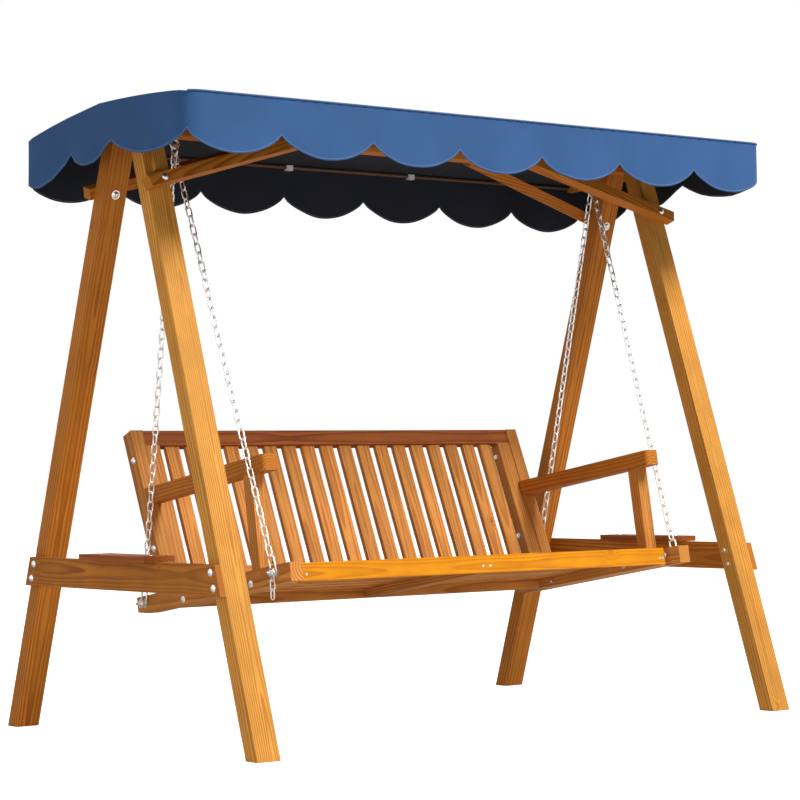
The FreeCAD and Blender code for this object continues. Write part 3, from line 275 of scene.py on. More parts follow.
def grain_group():
    """Growth rings, fibre and knots of sawn larch.

    The vector runs along the board on X and through its thickness on Z, and is zero at the board's
    middle. The tree's heart lies behind one wide face, so that face shows long pointed figure.
    """
    group, source, sink = node_group(
        "larch_grain",
        "ShaderNodeTree",
        (
            ("Vector", "NodeSocketVector", None),
            ("Lane", "NodeSocketFloat", 0.0),
            ("Ring width", "NodeSocketFloat", 0.0055),
            ("Heart depth", "NodeSocketFloat", 0.032),
            ("Early wood", "NodeSocketColor", (0.60, 0.25, 0.06, 1)),
            ("Late wood", "NodeSocketColor", (0.33, 0.09, 0.015, 1)),
            ("Knot", "NodeSocketColor", (0.10, 0.025, 0.006, 1)),
        ),
        SKIN_OUTPUTS,
    )
    w = Wiring(group)
    lane = source.outputs["Lane"]
    lot = w.add("ShaderNodeTexWhiteNoise", {"noise_dimensions": "1D"}, W=lane)
    spread = w.vector("SUBTRACT", lot.outputs["Color"], (0.5, 0.5, 0.5))
    place = w.vector("ADD", source.outputs["Vector"], w.vector("MULTIPLY", spread, (9.0, 0.0, 0.0)))
    along = w.add("ShaderNodeSeparateXYZ", Vector=place).outputs[0]
    line = {"noise_dimensions": "1D"}
    bow = w.add("ShaderNodeTexNoise", line, W=along, Scale=1.3, Detail=1.5, Roughness=0.4)
    bow = w.vector("SUBTRACT", bow.outputs["Color"], (0.5, 0.5, 0.5))
    heart = w.add("ShaderNodeCombineXYZ", Z=source.outputs["Heart depth"]).outputs[0]
    heart = w.vector("ADD", heart, w.vector("MULTIPLY", spread, (0.0, 0.036, 0.020)))
    heart = w.vector("ADD", heart, w.vector("MULTIPLY", bow, (0.0, 0.014, 0.026)))
    split = w.add("ShaderNodeSeparateXYZ", Vector=w.vector("ADD", place, heart))
    y2 = w.sum("MULTIPLY", split.outputs[1], split.outputs[1])
    z2 = w.sum("MULTIPLY", split.outputs[2], split.outputs[2])
    radius = w.sum("SQRT", w.sum("ADD", y2, z2))
    ripple_place = w.vector("MULTIPLY", place, (4.0, 22.0, 22.0))
    ripple = w.add("ShaderNodeTexNoise", Vector=ripple_place, Scale=1.0, Detail=2.0, Roughness=0.5)
    radius = w.sum("ADD", radius, w.sum("MULTIPLY", ripple.outputs[0], 0.0060))
    knots = w.add("ShaderNodeTexVoronoi", Vector=w.vector("MULTIPLY", place, (1.0, 1.6, 0.25)), Scale=4.2)
    near = w.sum("DIVIDE", knots.outputs["Distance"], 4.2)
    radius = w.sum("ADD", radius, w.sum("MULTIPLY", w.span(near, 0.0, 0.036, 1.0, 0.0), 0.019))
    phase = w.sum("FRACT", w.sum("DIVIDE", radius, source.outputs["Ring width"]))
    late = w.sum("MULTIPLY", w.span(phase, 0.22, 0.90), w.span(phase, 0.92, 1.0, 1.0, 0.0))
    fibre_place = w.vector("MULTIPLY", place, (16.0, 520.0, 520.0))
    fibre = w.add("ShaderNodeTexNoise", Vector=fibre_place, Scale=1.0, Detail=3.0, Roughness=0.6).outputs[0]
    cloud_place = w.vector("MULTIPLY", place, (2.2, 14.0, 14.0))
    cloud = w.add("ShaderNodeTexNoise", Vector=cloud_place, Scale=1.0, Detail=3.0, Roughness=0.55)
    cloud = cloud.outputs[0]
    stain = w.add("ShaderNodeTexNoise", Vector=source.outputs["Vector"], Scale=11.0, Detail=4.0).outputs[0]
    amount = w.sum("MULTIPLY", late, w.span(cloud, 0.25, 0.75, 0.42, 0.95))
    timber = w.mix(amount, source.outputs["Early wood"], source.outputs["Late wood"])
    tone = w.sum("ADD", w.span(fibre, 0.2, 0.8, 0.90, 1.08), w.span(stain, 0.3, 0.7, -0.06, 0.06))
    tone = w.sum("ADD", tone, w.span(lot.outputs["Value"], 0.0, 1.0, -0.12, 0.10, False))
    tone = w.sum("MULTIPLY", tone, w.span(cloud, 0.2, 0.8, 0.88, 1.10))
    timber = w.mix(1.0, timber, w.grey(tone), "MULTIPLY")
    timber = w.mix(w.span(near, 0.006, 0.030, 0.45, 0.0), timber, source.outputs["Late wood"])
    timber = w.mix(w.span(near, 0.0035, 0.0085, 0.90, 0.0), timber, source.outputs["Knot"])
    gloss = w.sum("ADD", w.span(late, 0.0, 1.0, 0.60, 0.50), w.span(fibre, 0.2, 0.8, -0.05, 0.07))
    height = w.sum("ADD", w.sum("MULTIPLY", late, 0.55), w.sum("MULTIPLY", fibre, 0.45))
    w.tree.links.new(timber, sink.inputs["Color"])
    w.tree.links.new(gloss, sink.inputs["Roughness"])
    w.tree.links.new(height, sink.inputs["Height"])
    return group


def weave_group():
    """Plain woven awning cloth with a hem near the free edge."""
    group, source, sink = node_group(
        "awning_weave",
        "ShaderNodeTree",
        (
            ("UV", "NodeSocketVector", None),
            ("Edge", "NodeSocketFloat", 1.0),
            ("Cloth", "NodeSocketColor", (0.05, 0.14, 0.33, 1)),
            ("Hem", "NodeSocketColor", (0.16, 0.30, 0.52, 1)),
            ("Hem width", "NodeSocketFloat", 0.0055),
            ("Thread", "NodeSocketFloat", 0.0009),
        ),
        SKIN_OUTPUTS,
    )
    w = Wiring(group)
    split = w.add("ShaderNodeSeparateXYZ", Vector=source.outputs["UV"])
    pitch = source.outputs["Thread"]
    warp = w.sum("SINE", w.sum("MULTIPLY", w.sum("DIVIDE", split.outputs[0], pitch), math.pi))
    weft = w.sum("SINE", w.sum("MULTIPLY", w.sum("DIVIDE", split.outputs[1], pitch), math.pi))
    cross = w.sum("MULTIPLY", warp, weft)
    slub_place = w.vector("MULTIPLY", source.outputs["UV"], (30.0, 420.0, 1.0))
    slub = w.add("ShaderNodeTexNoise", Vector=slub_place, Detail=2.0).outputs[0]
    sheet = source.outputs["UV"]
    fade = w.add("ShaderNodeTexNoise", Vector=sheet, Scale=3.5, Detail=5.0, Roughness=0.6).outputs[0]
    edge, turned_in = source.outputs["Edge"], source.outputs["Hem width"]
    hem = w.span(edge, turned_in, w.sum("ADD", turned_in, 0.0012), 1.0, 0.0)
    seam_at = w.sum("ABSOLUTE", w.sum("SUBTRACT", edge, w.sum("MULTIPLY", turned_in, 0.82)))
    seam = w.span(seam_at, 0.0004, 0.0011, 1.0, 0.0)
    stitch = w.span(w.sum("SINE", w.sum("MULTIPLY", split.outputs[0], 1600.0)), -0.3, 0.2)
    thread = w.sum("MULTIPLY", seam, stitch)
    colour = w.mix(w.sum("MULTIPLY", hem, 0.7), source.outputs["Cloth"], source.outputs["Hem"])
    tone = w.sum("ADD", w.span(fade, 0.3, 0.7, 0.92, 1.06), w.sum("MULTIPLY", cross, 0.05))
    tone = w.sum("ADD", tone, w.span(slub, 0.2, 0.8, -0.05, 0.05))
    colour = w.mix(1.0, colour, w.grey(tone), "MULTIPLY")
    colour = w.mix(w.sum("MULTIPLY", thread, 0.35), colour, (0.42, 0.52, 0.66, 1))
    height = w.sum("ADD", w.sum("MULTIPLY", cross, 0.18), w.sum("MULTIPLY", hem, 1.2))
    height = w.sum("SUBTRACT", height, w.sum("MULTIPLY", seam, 0.6))
    height = w.sum("ADD", height, w.sum("MULTIPLY", thread, 0.5))
    w.tree.links.new(colour, sink.inputs["Color"])
    w.tree.links.new(w.span(cross, -1.0, 1.0, 0.88, 0.76, False), sink.inputs["Roughness"])
    w.tree.links.new(height, sink.inputs["Height"])
    return group


def zinc_group():
    """Bright zinc plating: fine spangle, handling marks and a faint straw tint."""
    group, source, sink = node_group(
        "zinc_plating",
        "ShaderNodeTree",
        (
            ("Vector", "NodeSocketVector", None),
            ("Bright", "NodeSocketColor", (0.90, 0.90, 0.89, 1)),
            ("Tarnish", "NodeSocketColor", (0.62, 0.60, 0.56, 1)),
            ("Grain", "NodeSocketFloat", 260.0),
        ),
        SKIN_OUTPUTS,
    )
    w = Wiring(group)
    where = source.outputs["Vector"]
    spangle = w.add("ShaderNodeTexVoronoi", Vector=where, Scale=source.outputs["Grain"]).outputs["Color"]
    level = w.add("ShaderNodeSeparateColor", Color=spangle).outputs[0]
    marks = w.add("ShaderNodeTexNoise", Vector=where, Scale=90.0, Detail=5.0, Roughness=0.65).outputs[0]
    colour = w.mix(w.span(marks, 0.45, 0.75, 0.0, 0.75), source.outputs["Bright"], source.outputs["Tarnish"])
    rough = w.sum("ADD", w.span(level, 0.0, 1.0, 0.18, 0.30, False), w.span(marks, 0.35, 0.75, 0.0, 0.22))
    w.tree.links.new(colour, sink.inputs["Color"])
    w.tree.links.new(rough, sink.inputs["Roughness"])
    w.tree.links.new(w.sum("ADD", w.sum("MULTIPLY", level, 0.3), marks), sink.inputs["Height"])
    return group


def speckle_group():
    """Paint or moulded plastic: a fine pimpled skin with dust in it."""
    group, source, sink = node_group(
        "speckled_skin",
        "ShaderNodeTree",
        (
            ("Vector", "NodeSocketVector", None),
            ("Paint", "NodeSocketColor", (0.10, 0.045, 0.02, 1)),
            ("Dust", "NodeSocketColor", (0.07, 0.03, 0.014, 1)),
            ("Rough", "NodeSocketFloat", 0.45),
            ("Fineness", "NodeSocketFloat", 350.0),
        ),
        SKIN_OUTPUTS,
    )
    w = Wiring(group)
    where = source.outputs["Vector"]
    fineness = source.outputs["Fineness"]
    grain = w.add("ShaderNodeTexNoise", Vector=where, Scale=fineness, Detail=3.0).outputs[0]
    dust = w.add("ShaderNodeTexNoise", Vector=where, Scale=14.0, Detail=5.0).outputs[0]
    colour = w.mix(w.span(dust, 0.35, 0.7, 0.0, 0.6), source.outputs["Paint"], source.outputs["Dust"])
    rough = w.sum("ADD", source.outputs["Rough"], w.span(grain, 0.3, 0.7, -0.08, 0.08))
    w.tree.links.new(colour, sink.inputs["Color"])
    w.tree.links.new(rough, sink.inputs["Roughness"])
    w.tree.links.new(grain, sink.inputs["Height"])
    return group


GRAIN = grain_group()
WEAVE = weave_group()
ZINC = zinc_group()
SPECKLE = speckle_group()


def finish_from(name, group, bump, depth, feeds, shader_values=None):
    """A material whose colour, roughness and height come from one group."""
    material = bpy.data.materials.new(name)
    material.use_nodes = True
    w = Wiring(material.node_tree)
    shader = material.node_tree.nodes["Principled BSDF"]
    node = w.add("ShaderNodeGroup", {"node_tree": group})
    for socket, value in feeds(w).items():
        w.feed(node, socket, value)
    w.tree.links.new(node.outputs["Color"], shader.inputs["Base Color"])
    w.tree.links.new(node.outputs["Roughness"], shader.inputs["Roughness"])
    relief = w.add("ShaderNodeBump", Strength=bump, Distance=depth, Height=node.outputs["Height"])
    w.tree.links.new(relief.outputs[0], shader.inputs["Normal"])
    for socket, value in (shader_values or {}).items():
        shader.inputs[socket].default_value = value
    return material


# ------------------------------------------------------------------ timber

HONEY = ((0.68, 0.318, 0.056, 1), (0.42, 0.132, 0.014, 1))
AMBER = ((0.64, 0.270, 0.058, 1), (0.38, 0.115, 0.018, 1))
# The same stain painted darker for the parts that stand in shade (rear legs, ties, beam, struts, armrests):
# painted shade.
SHADED_RUSSET = ((0.54, 0.190, 0.022, 1), (0.31, 0.078, 0.007, 1))
PALE = ((0.82, 0.305, 0.005, 1), (0.60, 0.175, 0.002, 1))
# The same stain painted darkest for the trays and the back's top rail, which stand deep in shade: painted
# shade.
SHADED_DEEP = ((0.35, 0.098, 0.020, 1), (0.17, 0.034, 0.006, 1))
ALONG_X = (0, 0, 0)
ALONG_Y = (0, 0, -90)
FRONT_LEG = (LEG_LEAN, 90, 0)
REAR_LEG = (-LEG_LEAN, 90, 0)
BENCH_X = (SEAT_TILT, 0, 0)
BENCH_Y = (SEAT_TILT, 0, -90)
BENCH_UP = (SEAT_TILT, 90, 0)
BACK_UP = (BACK_LEAN, 90, 0)
BACK_X = (BACK_LEAN, 0, 0)

# Every board is one stain; the parts that stand in shade take the darker tones, which is painted shade.
TIMBER = {
    "leg_front_left": (FRONT_LEG, HONEY),
    "leg_front_right": (FRONT_LEG, HONEY),
    "leg_rear_left": (REAR_LEG, SHADED_RUSSET),
    "leg_rear_right": (REAR_LEG, SHADED_RUSSET),
    "tie_lower_left": (ALONG_Y, SHADED_RUSSET),
    "tie_lower_right": (ALONG_Y, SHADED_RUSSET),
    "beam_top": (ALONG_X, SHADED_RUSSET),
    "strut_front_left": ((0, STRUT_RISE, 0), SHADED_RUSSET),
    "strut_front_right": ((0, -STRUT_RISE, 0), SHADED_RUSSET),
    "strut_rear_left": ((0, STRUT_RISE, 0), SHADED_RUSSET),
    "strut_rear_right": ((0, -STRUT_RISE, 0), SHADED_RUSSET),
    "strut_spacers": (ALONG_X, HONEY),
    "leg_cleats": (FRONT_LEG, HONEY),
    "tray_left": (ALONG_Y, SHADED_DEEP),
    "tray_right": (ALONG_Y, SHADED_DEEP),
    "rail_left": (BENCH_Y, AMBER),
    "rail_right": (BENCH_Y, AMBER),
    "bearer_left": (BENCH_Y, AMBER),
    "bearer_middle": (BENCH_Y, AMBER),
    "bearer_right": (BENCH_Y, AMBER),
    "seat_front_slat": (BENCH_X, PALE),
    "seat_rear_rail": (BENCH_X, AMBER),
    "seat_slats": (BENCH_X, AMBER),
    "stile_left": (BACK_UP, AMBER),
    "stile_right": (BACK_UP, AMBER),
    "back_top_rail": (BACK_X, SHADED_DEEP),
    "back_bottom_rail": (BACK_X, AMBER),
    "back_end_board_left": (BACK_UP, AMBER),
    "back_end_board_right": (BACK_UP, AMBER),
    "back_slats": (BACK_UP, AMBER),
    "armrest_left": (BENCH_Y, SHADED_RUSSET),
    "armrest_right": (BENCH_Y, SHADED_RUSSET),
    "arm_post_left": (BENCH_UP, AMBER),
    "arm_post_right": (BENCH_UP, AMBER),
    "canopy_arm_left": (ALONG_Y, HONEY),
    "canopy_arm_right": (ALONG_Y, HONEY),
}

# Boards in a row in one node: how many, and how wide each is.
ROWS = {"back_slats": (18, 0.044), "seat_slats": (8, 0.046)}


def board_axes(node, turn):
    """The turn that lays a board's grain along X and its thickness along Z, and its box after it."""
    turning = Euler([math.radians(a) for a in turn]).to_matrix()
    points = [turning @ vert.co for vert in NODES[node].data.vertices]
    wide, thick = (max(p[i] for p in points) - min(p[i] for p in points) for i in (1, 2))
    if wide < thick:
        roll = Matrix.Rotation(math.pi / 2, 3, "X")
        turning = roll @ turning
        points = [roll @ p for p in points]
    low, high = (Vector([pick(p[i] for p in points) for i in range(3)]) for pick in (min, max))
    return turning, low, high


def timber(node, number, turn, tones):
    """Stained larch whose grain follows one board."""
    turning, low, high = board_axes(node, turn)
    middle = (low + high) / 2
    if node in ROWS:
        count, wide = ROWS[node]
        pitch = (high.y - low.y - wide) / (count - 1)
        middle.y = low.y + wide / 2

    def feeds(w):
        where = w.add("ShaderNodeTexCoord").outputs["Object"]
        turned = w.add("ShaderNodeMapping", Vector=where, Rotation=turning.to_euler(), Location=-middle)
        place, lane = turned.outputs[0], float(number)
        if node in ROWS:
            across = w.add("ShaderNodeSeparateXYZ", Vector=place).outputs[1]
            lane = w.sum("ROUND", w.sum("DIVIDE", across, pitch))
            step = w.add("ShaderNodeCombineXYZ", Y=w.sum("MULTIPLY", lane, pitch)).outputs[0]
            place = w.vector("SUBTRACT", place, step)
            lane = w.sum("ADD", lane, 100.0 * number)
        return {
            "Vector": place,
            "Lane": lane,
            "Ring width": 0.0062 + 0.0009 * (number % 4),
            "Early wood": tones[0],
            "Late wood": tones[1],
        }

    return finish_from("larch_" + node, GRAIN, 0.4, 0.0005, feeds, {"Specular IOR Level": 0.15})


def dress(node, material):
    """Give a carried-over node its finish."""
    mesh = NODES[node].data
    mesh.materials.clear()
    mesh.materials.append(material)


def zinc(name, bright=(0.90, 0.90, 0.89, 1)):
    """Bright zinc plate."""

    def feeds(w):
        return {"Vector": w.add("ShaderNodeTexCoord").outputs["Object"], "Bright": bright}

    return finish_from(name, ZINC, 0.25, 0.0003, feeds, {"Metallic": 1.0})


def speckled(name, paint, rough):
    """Paint or moulded plastic of one colour."""

    def feeds(w):
        where = w.add("ShaderNodeTexCoord").outputs["Object"]
        dust = tuple(c * 0.7 for c in paint[:3]) + (1,)
        return {"Vector": where, "Paint": paint, "Dust": dust, "Rough": rough}

    return finish_from(name, SPECKLE, 0.2, 0.0002, feeds)


# ------------------------------------------------------------------ chains


def link_tree():
    """One closed link along Z, wide along X, swept from round wire."""
    group, source, sink = node_group(
        "closed_link",
        "GeometryNodeTree",
        (
            ("Length", "NodeSocketFloat", 0.032),
            ("Width", "NodeSocketFloat", 0.018),
            ("Wire", "NodeSocketFloat", 0.004),
        ),
        (("Link", "NodeSocketGeometry"),),
    )
    w = Wiring(group)
    size = source.outputs
    bend = w.sum("MULTIPLY", w.sum("SUBTRACT", size["Width"], size["Wire"]), 0.5)
    reach = w.sum("MULTIPLY", w.sum("SUBTRACT", size["Length"], size["Width"]), 0.5)
    circle = w.add("GeometryNodeCurvePrimitiveCircle", Resolution=LOOP_POINTS, Radius=bend)
    half_step = (0, 0, math.pi / LOOP_POINTS)
    circle = w.add("GeometryNodeTransform", Geometry=circle.outputs[0], Rotation=half_step)
    place = w.add("GeometryNodeInputPosition").outputs[0]
    end = w.sum("SIGN", w.add("ShaderNodeSeparateXYZ", Vector=place).outputs[1])
    pull = w.add("ShaderNodeCombineXYZ", Y=w.sum("MULTIPLY", end, reach)).outputs[0]
    loop = w.add("GeometryNodeSetPosition", Geometry=circle.outputs[0], Offset=pull)
    round_wire = w.sum("MULTIPLY", size["Wire"], 0.5)
    section = w.add("GeometryNodeCurvePrimitiveCircle", Resolution=WIRE_POINTS, Radius=round_wire)
    tube = w.add("GeometryNodeCurveToMesh", Curve=loop.outputs[0], Profile_Curve=section.outputs[0])
    upright = w.add("GeometryNodeTransform", Geometry=tube.outputs[0], Rotation=(math.pi / 2, 0, 0))
    w.tree.links.new(upright.outputs[0], sink.inputs["Link"])
    return group


def chain_tree(link):
    """Small links in a row along +Z, each turned a quarter from the last, then one long joining link."""
    group, source, sink = node_group(
        "hanging_chain",
        "GeometryNodeTree",
        (
            ("Geometry", "NodeSocketGeometry", None),
            ("Count", "NodeSocketInt", 49),
            ("Pitch", "NodeSocketFloat", 0.024),
            ("First middle", "NodeSocketFloat", 0.02),
            ("Link length", "NodeSocketFloat", 0.032),
            ("Link width", "NodeSocketFloat", 0.018),
            ("Wire", "NodeSocketFloat", 0.004),
            ("Joiner middle", "NodeSocketFloat", 1.2),
            ("Joiner length", "NodeSocketFloat", 0.062),
            ("Joiner width", "NodeSocketFloat", 0.030),
            ("Joiner wire", "NodeSocketFloat", 0.0055),
            ("Finish", "NodeSocketMaterial", None),
        ),
        (("Geometry", "NodeSocketGeometry"),),
    )
    w = Wiring(group)
    size = source.outputs
    small = w.add(
        "GeometryNodeGroup",
        {"node_tree": link},
        Length=size["Link length"],
        Width=size["Link width"],
        Wire=size["Wire"],
    )
    start = w.add("ShaderNodeCombineXYZ", Z=size["First middle"]).outputs[0]
    step = w.add("ShaderNodeCombineXYZ", Z=size["Pitch"]).outputs[0]
    row = w.add("GeometryNodeMeshLine", Count=size["Count"], Start_Location=start, Offset=step)
    index = w.add("GeometryNodeInputIndex").outputs[0]
    quarter = w.sum("MULTIPLY", w.sum("MODULO", index, 2.0), math.pi / 2)
    spin = w.add("ShaderNodeCombineXYZ", Z=quarter).outputs[0]
    links = w.add(
        "GeometryNodeInstanceOnPoints", Points=row.outputs[0], Instance=small.outputs[0], Rotation=spin
    )
    joiner = w.add(
        "GeometryNodeGroup",
        {"node_tree": link},
        Length=size["Joiner length"],
        Width=size["Joiner width"],
        Wire=size["Joiner wire"],
    )
    foot = w.add("ShaderNodeCombineXYZ", Z=size["Joiner middle"]).outputs[0]
    turned = (0, 0, math.pi / 2)
    joiner = w.add(
        "GeometryNodeTransform", Geometry=joiner.outputs[0], Translation=foot, Rotation=turned
    )
    both = w.add("GeometryNodeJoinGeometry", Geometry=links.outputs[0])
    w.feed(both, "Geometry", joiner.outputs[0])
    smooth = w.add("GeometryNodeSetShadeSmooth")
    w.feed(smooth, 0, both.outputs[0])
    real = w.add("GeometryNodeRealizeInstances", Geometry=smooth.outputs[0])
    coated = w.add("GeometryNodeSetMaterial", Geometry=real.outputs[0], Material=size["Finish"])
    w.tree.links.new(coated.outputs[0], sink.inputs["Geometry"])
    return group


def grow(name, tree, values):
    """Run a tree on an empty mesh and keep the result as a plain mesh."""
    seed = bpy.data.objects.new(name + "_seed", bpy.data.meshes.new(name + "_seed"))
    bpy.context.collection.objects.link(seed)
    modifier = seed.modifiers.new("grow", "NODES")
    modifier.node_group = tree
    for item in tree.interface.items_tree:
        if item.in_out == "INPUT" and item.name in values:
            modifier[item.identifier] = values[item.name]
    graph = bpy.context.evaluated_depsgraph_get()
    mesh = bpy.data.meshes.new_from_object(seed.evaluated_get(graph), depsgraph=graph)
    bpy.data.objects.remove(seed)
    mesh.name = name
    return mesh


def piece(name, mesh):
    """A new object at the origin for a finished mesh."""
    obj = bpy.data.objects.new(name, mesh)
    bpy.context.collection.objects.link(obj)
    return obj


def on_bench(side, y, z):
    """A place on the tilted bench, as metres in the part's frame."""
    tilt = Matrix.Rotation(math.radians(-SEAT_TILT), 3, "X")
    return BENCH_CORNER + tilt @ Vector((0, y, z)) + Vector((side * LINK_SIDE, 0, 0))


def hang_chain(end, side_name, side, tree, finish):
    """One chain from its ring at the hanger down to its bolt in the bench's side rail."""
    top = Vector((side * HANGER.x, HANGER.y, HANGER.z))
    line = on_bench(side, *CHAIN_BOLTS[end]) - top
    first = RING_RADIUS - RING_WIRE / 2 - LINK_WIRE / 2 - PLAY
    last = line.length + BOLT / 2 + JOINER_WIRE / 2 + PLAY
    joiner_run = JOINER_LONG - JOINER_WIRE
    small = last - joiner_run - first - LINK_WIRE + (LINK_WIRE + JOINER_WIRE) / 2
    count = 2 * round((small / LINK_PITCH - 1) / 2) + 1
    pitch = small / count
    values = {
        "Count": count,
        "Pitch": pitch,
        "First middle": first + (pitch + PLAY + LINK_WIRE) / 2,
        "Link length": pitch + PLAY + 2 * LINK_WIRE,
        "Link width": LINK_WIDE,
        "Wire": LINK_WIRE,
        "Joiner middle": last - joiner_run / 2,
        "Joiner length": JOINER_LONG,
        "Joiner width": JOINER_WIDE,
        "Joiner wire": JOINER_WIRE,
        "Finish": finish,
    }
    name = f"hanging_chain_{end}_{side_name}"
    mesh = grow(name, tree, values)
    down = line.normalized()
    across = (Vector((1, 0, 0)) - down * down.x).normalized()
    turn = Matrix((across, down.cross(across), down)).transposed().to_4x4()
    mesh.transform(Matrix.Translation(top) @ turn)
    chain = piece(name, mesh)
    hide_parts(f"chain_{end}_{side_name}")
    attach(chain, "bench")


# ------------------------------------------------------------------ canopy


def roof_at(y):
    """Outer height of the roof at a depth."""
    low, high = (ROOF_FRONT, ROOF_RIDGE) if y < ROOF_RIDGE[0] else (ROOF_RIDGE, ROOF_BACK)
    return low[1] + (high[1] - low[1]) * (y - low[0]) / (high[0] - low[0])


def arc_drop(t):
    """How far down a scallop reaches, 0 at its points and 1 at its lowest."""
    return math.sqrt(max(0.0, 1 - (2 * t - 1) ** 2)) * 0.28 + (1 - (2 * t - 1) ** 2) * 0.72


def valance_depth(position, cusps):
    """Depth of the scalloped edge below the roof at a position along it."""
    for a, b in zip(cusps, cusps[1:]):
        if position <= b or b == cusps[-1]:
            t = min(1.0, max(0.0, (position - a) / (b - a)))
            return CUSP_DROP + (SCALLOP_DROP - CUSP_DROP) * arc_drop(t)
    return CUSP_DROP


def arched(y):
    """Roof height of the cloth: drawn over the three poles, with a soft arch between them."""
    if y < ROOF_RIDGE[0]:
        share = (y - ROOF_FRONT[0]) / (ROOF_RIDGE[0] - ROOF_FRONT[0])
    else:
        share = (ROOF_BACK[0] - y) / (ROOF_BACK[0] - ROOF_RIDGE[0])
    return roof_at(y) + ARCH * math.sin(math.pi * share)


def rounded_corner(x, y):
    """Pull a plan position inside the canopy's rounded corners."""
    cx = ROOF_HALF - CORNER_ROUND
    middle = (ROOF_FRONT[0] + ROOF_BACK[0]) / 2
    cy = (ROOF_BACK[0] - ROOF_FRONT[0]) / 2 - CORNER_ROUND
    dx, dy = abs(x) - cx, abs(y - middle) - cy
    if dx <= 0 or dy <= 0:
        return x, y
    far = math.hypot(dx, dy)
    square = max(dx, dy)
    scale = square / far
    return math.copysign(cx + dx * scale, x), middle + math.copysign(cy + dy * scale, y - middle)


def drop_levels(depth):
    """Depths of the rows down a valance, finest at the roof edge and the hem."""
    start = EDGE_STEPS[-1]
    body = depth - HEM_STEPS[0] - start
    levels = list(EDGE_STEPS)
    levels += [start + body * share for share in DROP_SHARES]
    levels += [depth - height for height in HEM_STEPS]
    return levels


def flutter(position, depth, reach):
    """Outward lean of loose cloth: flares at the low points, with soft folds."""
    share = depth / SCALLOP_DROP
    waves = math.sin(position * 21.0 + 0.6) * 0.45 + math.sin(position * 47.0 + 2.1) * 0.25
    crease = ROOF_CREASE * math.sin(position * 160) * math.exp(-depth * 60)
    return reach * share * share * (0.5 + waves) + crease


def sag(x, y):
    """How far the cloth hangs below its arch between the poles, less near the ends."""
    low, high = (ROOF_FRONT[0], ROOF_RIDGE[0]) if y < ROOF_RIDGE[0] else (ROOF_RIDGE[0], ROOF_BACK[0])
    t = (y - low) / (high - low)
    ends = 1 - (abs(x) / ROOF_HALF) ** 6
    return 4 * t * (1 - t) * (SAG * ends + SAG_RIPPLE * math.sin(x * 9 + y * 5))


class Sheet:
    """One sheet of cloth, built up a strip at a time."""

    def __init__(self):
        self.cloth = bmesh.new()
        self.uv_layer = self.cloth.loops.layers.uv.new("UVMap")
        self.edge_layer = self.cloth.verts.layers.float.new("edge")
        self.flat = {}

    def add(self, x, y, z, u, v, edge):
        """A corner of the cloth, where it lies when flat, and how far it is from the free edge."""
        vert = self.cloth.verts.new((x, y, z))
        vert[self.edge_layer] = edge
        self.flat[vert] = (u, v)
        return vert

    def skin(self, lines, flip):
        """Fill between neighbouring lines of corners."""
        grid = [list(reversed(line)) for line in lines] if flip else lines
        for a, b in zip(grid, grid[1:]):
            for i in range(len(a) - 1):
                self.cloth.faces.new((a[i], a[i + 1], b[i + 1], b[i]))

    def finish(self, name):
        """Round the corners, turn the outside outwards and give the mesh and its area."""
        for vert in self.cloth.verts:
            vert.co.x, vert.co.y = rounded_corner(vert.co.x, vert.co.y)
        for face in self.cloth.faces:
            face.smooth = True
            for loop in face.loops:
                loop[self.uv_layer].uv = self.flat[loop.vert]
        bmesh.ops.recalc_face_normals(self.cloth, faces=self.cloth.faces)
        top = max(self.cloth.faces, key=lambda f: f.calc_center_median().z)
        if top.normal.z < 0:
            bmesh.ops.reverse_faces(self.cloth, faces=self.cloth.faces)
        mesh = bpy.data.meshes.new(name)
        self.cloth.to_mesh(mesh)
        area = sum(face.calc_area() for face in self.cloth.faces)
        self.cloth.free()
        return mesh, area


def long_valance(sheet, row, xs, y, out):
    """The scalloped drop along the front or the back, from its roof row down."""
    lines = [row]
    for j in range(1, LEVELS):
        line = []
        for x in xs:
            depth = valance_depth(x, LONG_CUSPS)
            down = drop_levels(depth)[j]
            ends = 1 - (abs(x) / ROOF_HALF) ** 12
            lean = flutter(x, down, FLARE_LONG) * ends
            line.append(sheet.add(x, y + out * lean, arched(y) - down, x, y + out * down, depth - down))
        lines.append(line)
    sheet.skin(lines, out < 0)
    return lines


def end_valance(sheet, roof, ys, side, front_lines, back_lines):
    """The scalloped drop at one end, joined to the front and back drops at its corners."""
    corner = 0 if side < 0 else -1
    middle = 0.5 * (END_CUSPS[0] + END_CUSPS[-1])
    lines = [[line[corner] for line in roof]]
    for j in range(1, LEVELS):
        line = [front_lines[j][corner]]
        for y in ys[1:-1]:
            depth = valance_depth(y, END_CUSPS)
            down = drop_levels(depth)[j]
            ends = 1 - (abs(y - middle) / END_HALF) ** 8
            lean = flutter(y * END_FOLDS, down, FLARE_END) * ends
            x, z = side * (ROOF_HALF + lean), arched(y) - down
            line.append(sheet.add(x, y, z, y, side * down + END_UV, depth - down))
        line.append(back_lines[j][corner])
        lines.append(line)
    sheet.skin(lines, side > 0)


def canopy():
    """One sheet: roof over the three poles, and a valance all round."""
    sheet = Sheet()
    columns = COLUMNS_EACH * FRONT_SCALLOPS
    xs = [-ROOF_HALF + 2 * ROOF_HALF * i / columns for i in range(columns + 1)]
    front, ridge, back = ROOF_FRONT[0], ROOF_RIDGE[0], ROOF_BACK[0]
    ys = [front + (ridge - front) * i / ROWS_EACH for i in range(ROWS_EACH + 1)]
    ys += [ridge + (back - ridge) * i / ROWS_EACH for i in range(1, ROWS_EACH + 1)]
    roof = [[sheet.add(x, y, arched(y) - sag(x, y), x, y, 1.0) for x in xs] for y in ys]
    sheet.skin(roof, False)
    front_lines = long_valance(sheet, roof[0], xs, front, -1)
    back_lines = long_valance(sheet, roof[-1], xs, back, 1)
    for side in (-1, 1):
        end_valance(sheet, roof, ys, side, front_lines, back_lines)
    mesh, area = sheet.finish("canopy_sheet")
    return piece("canopy_sheet", mesh), area


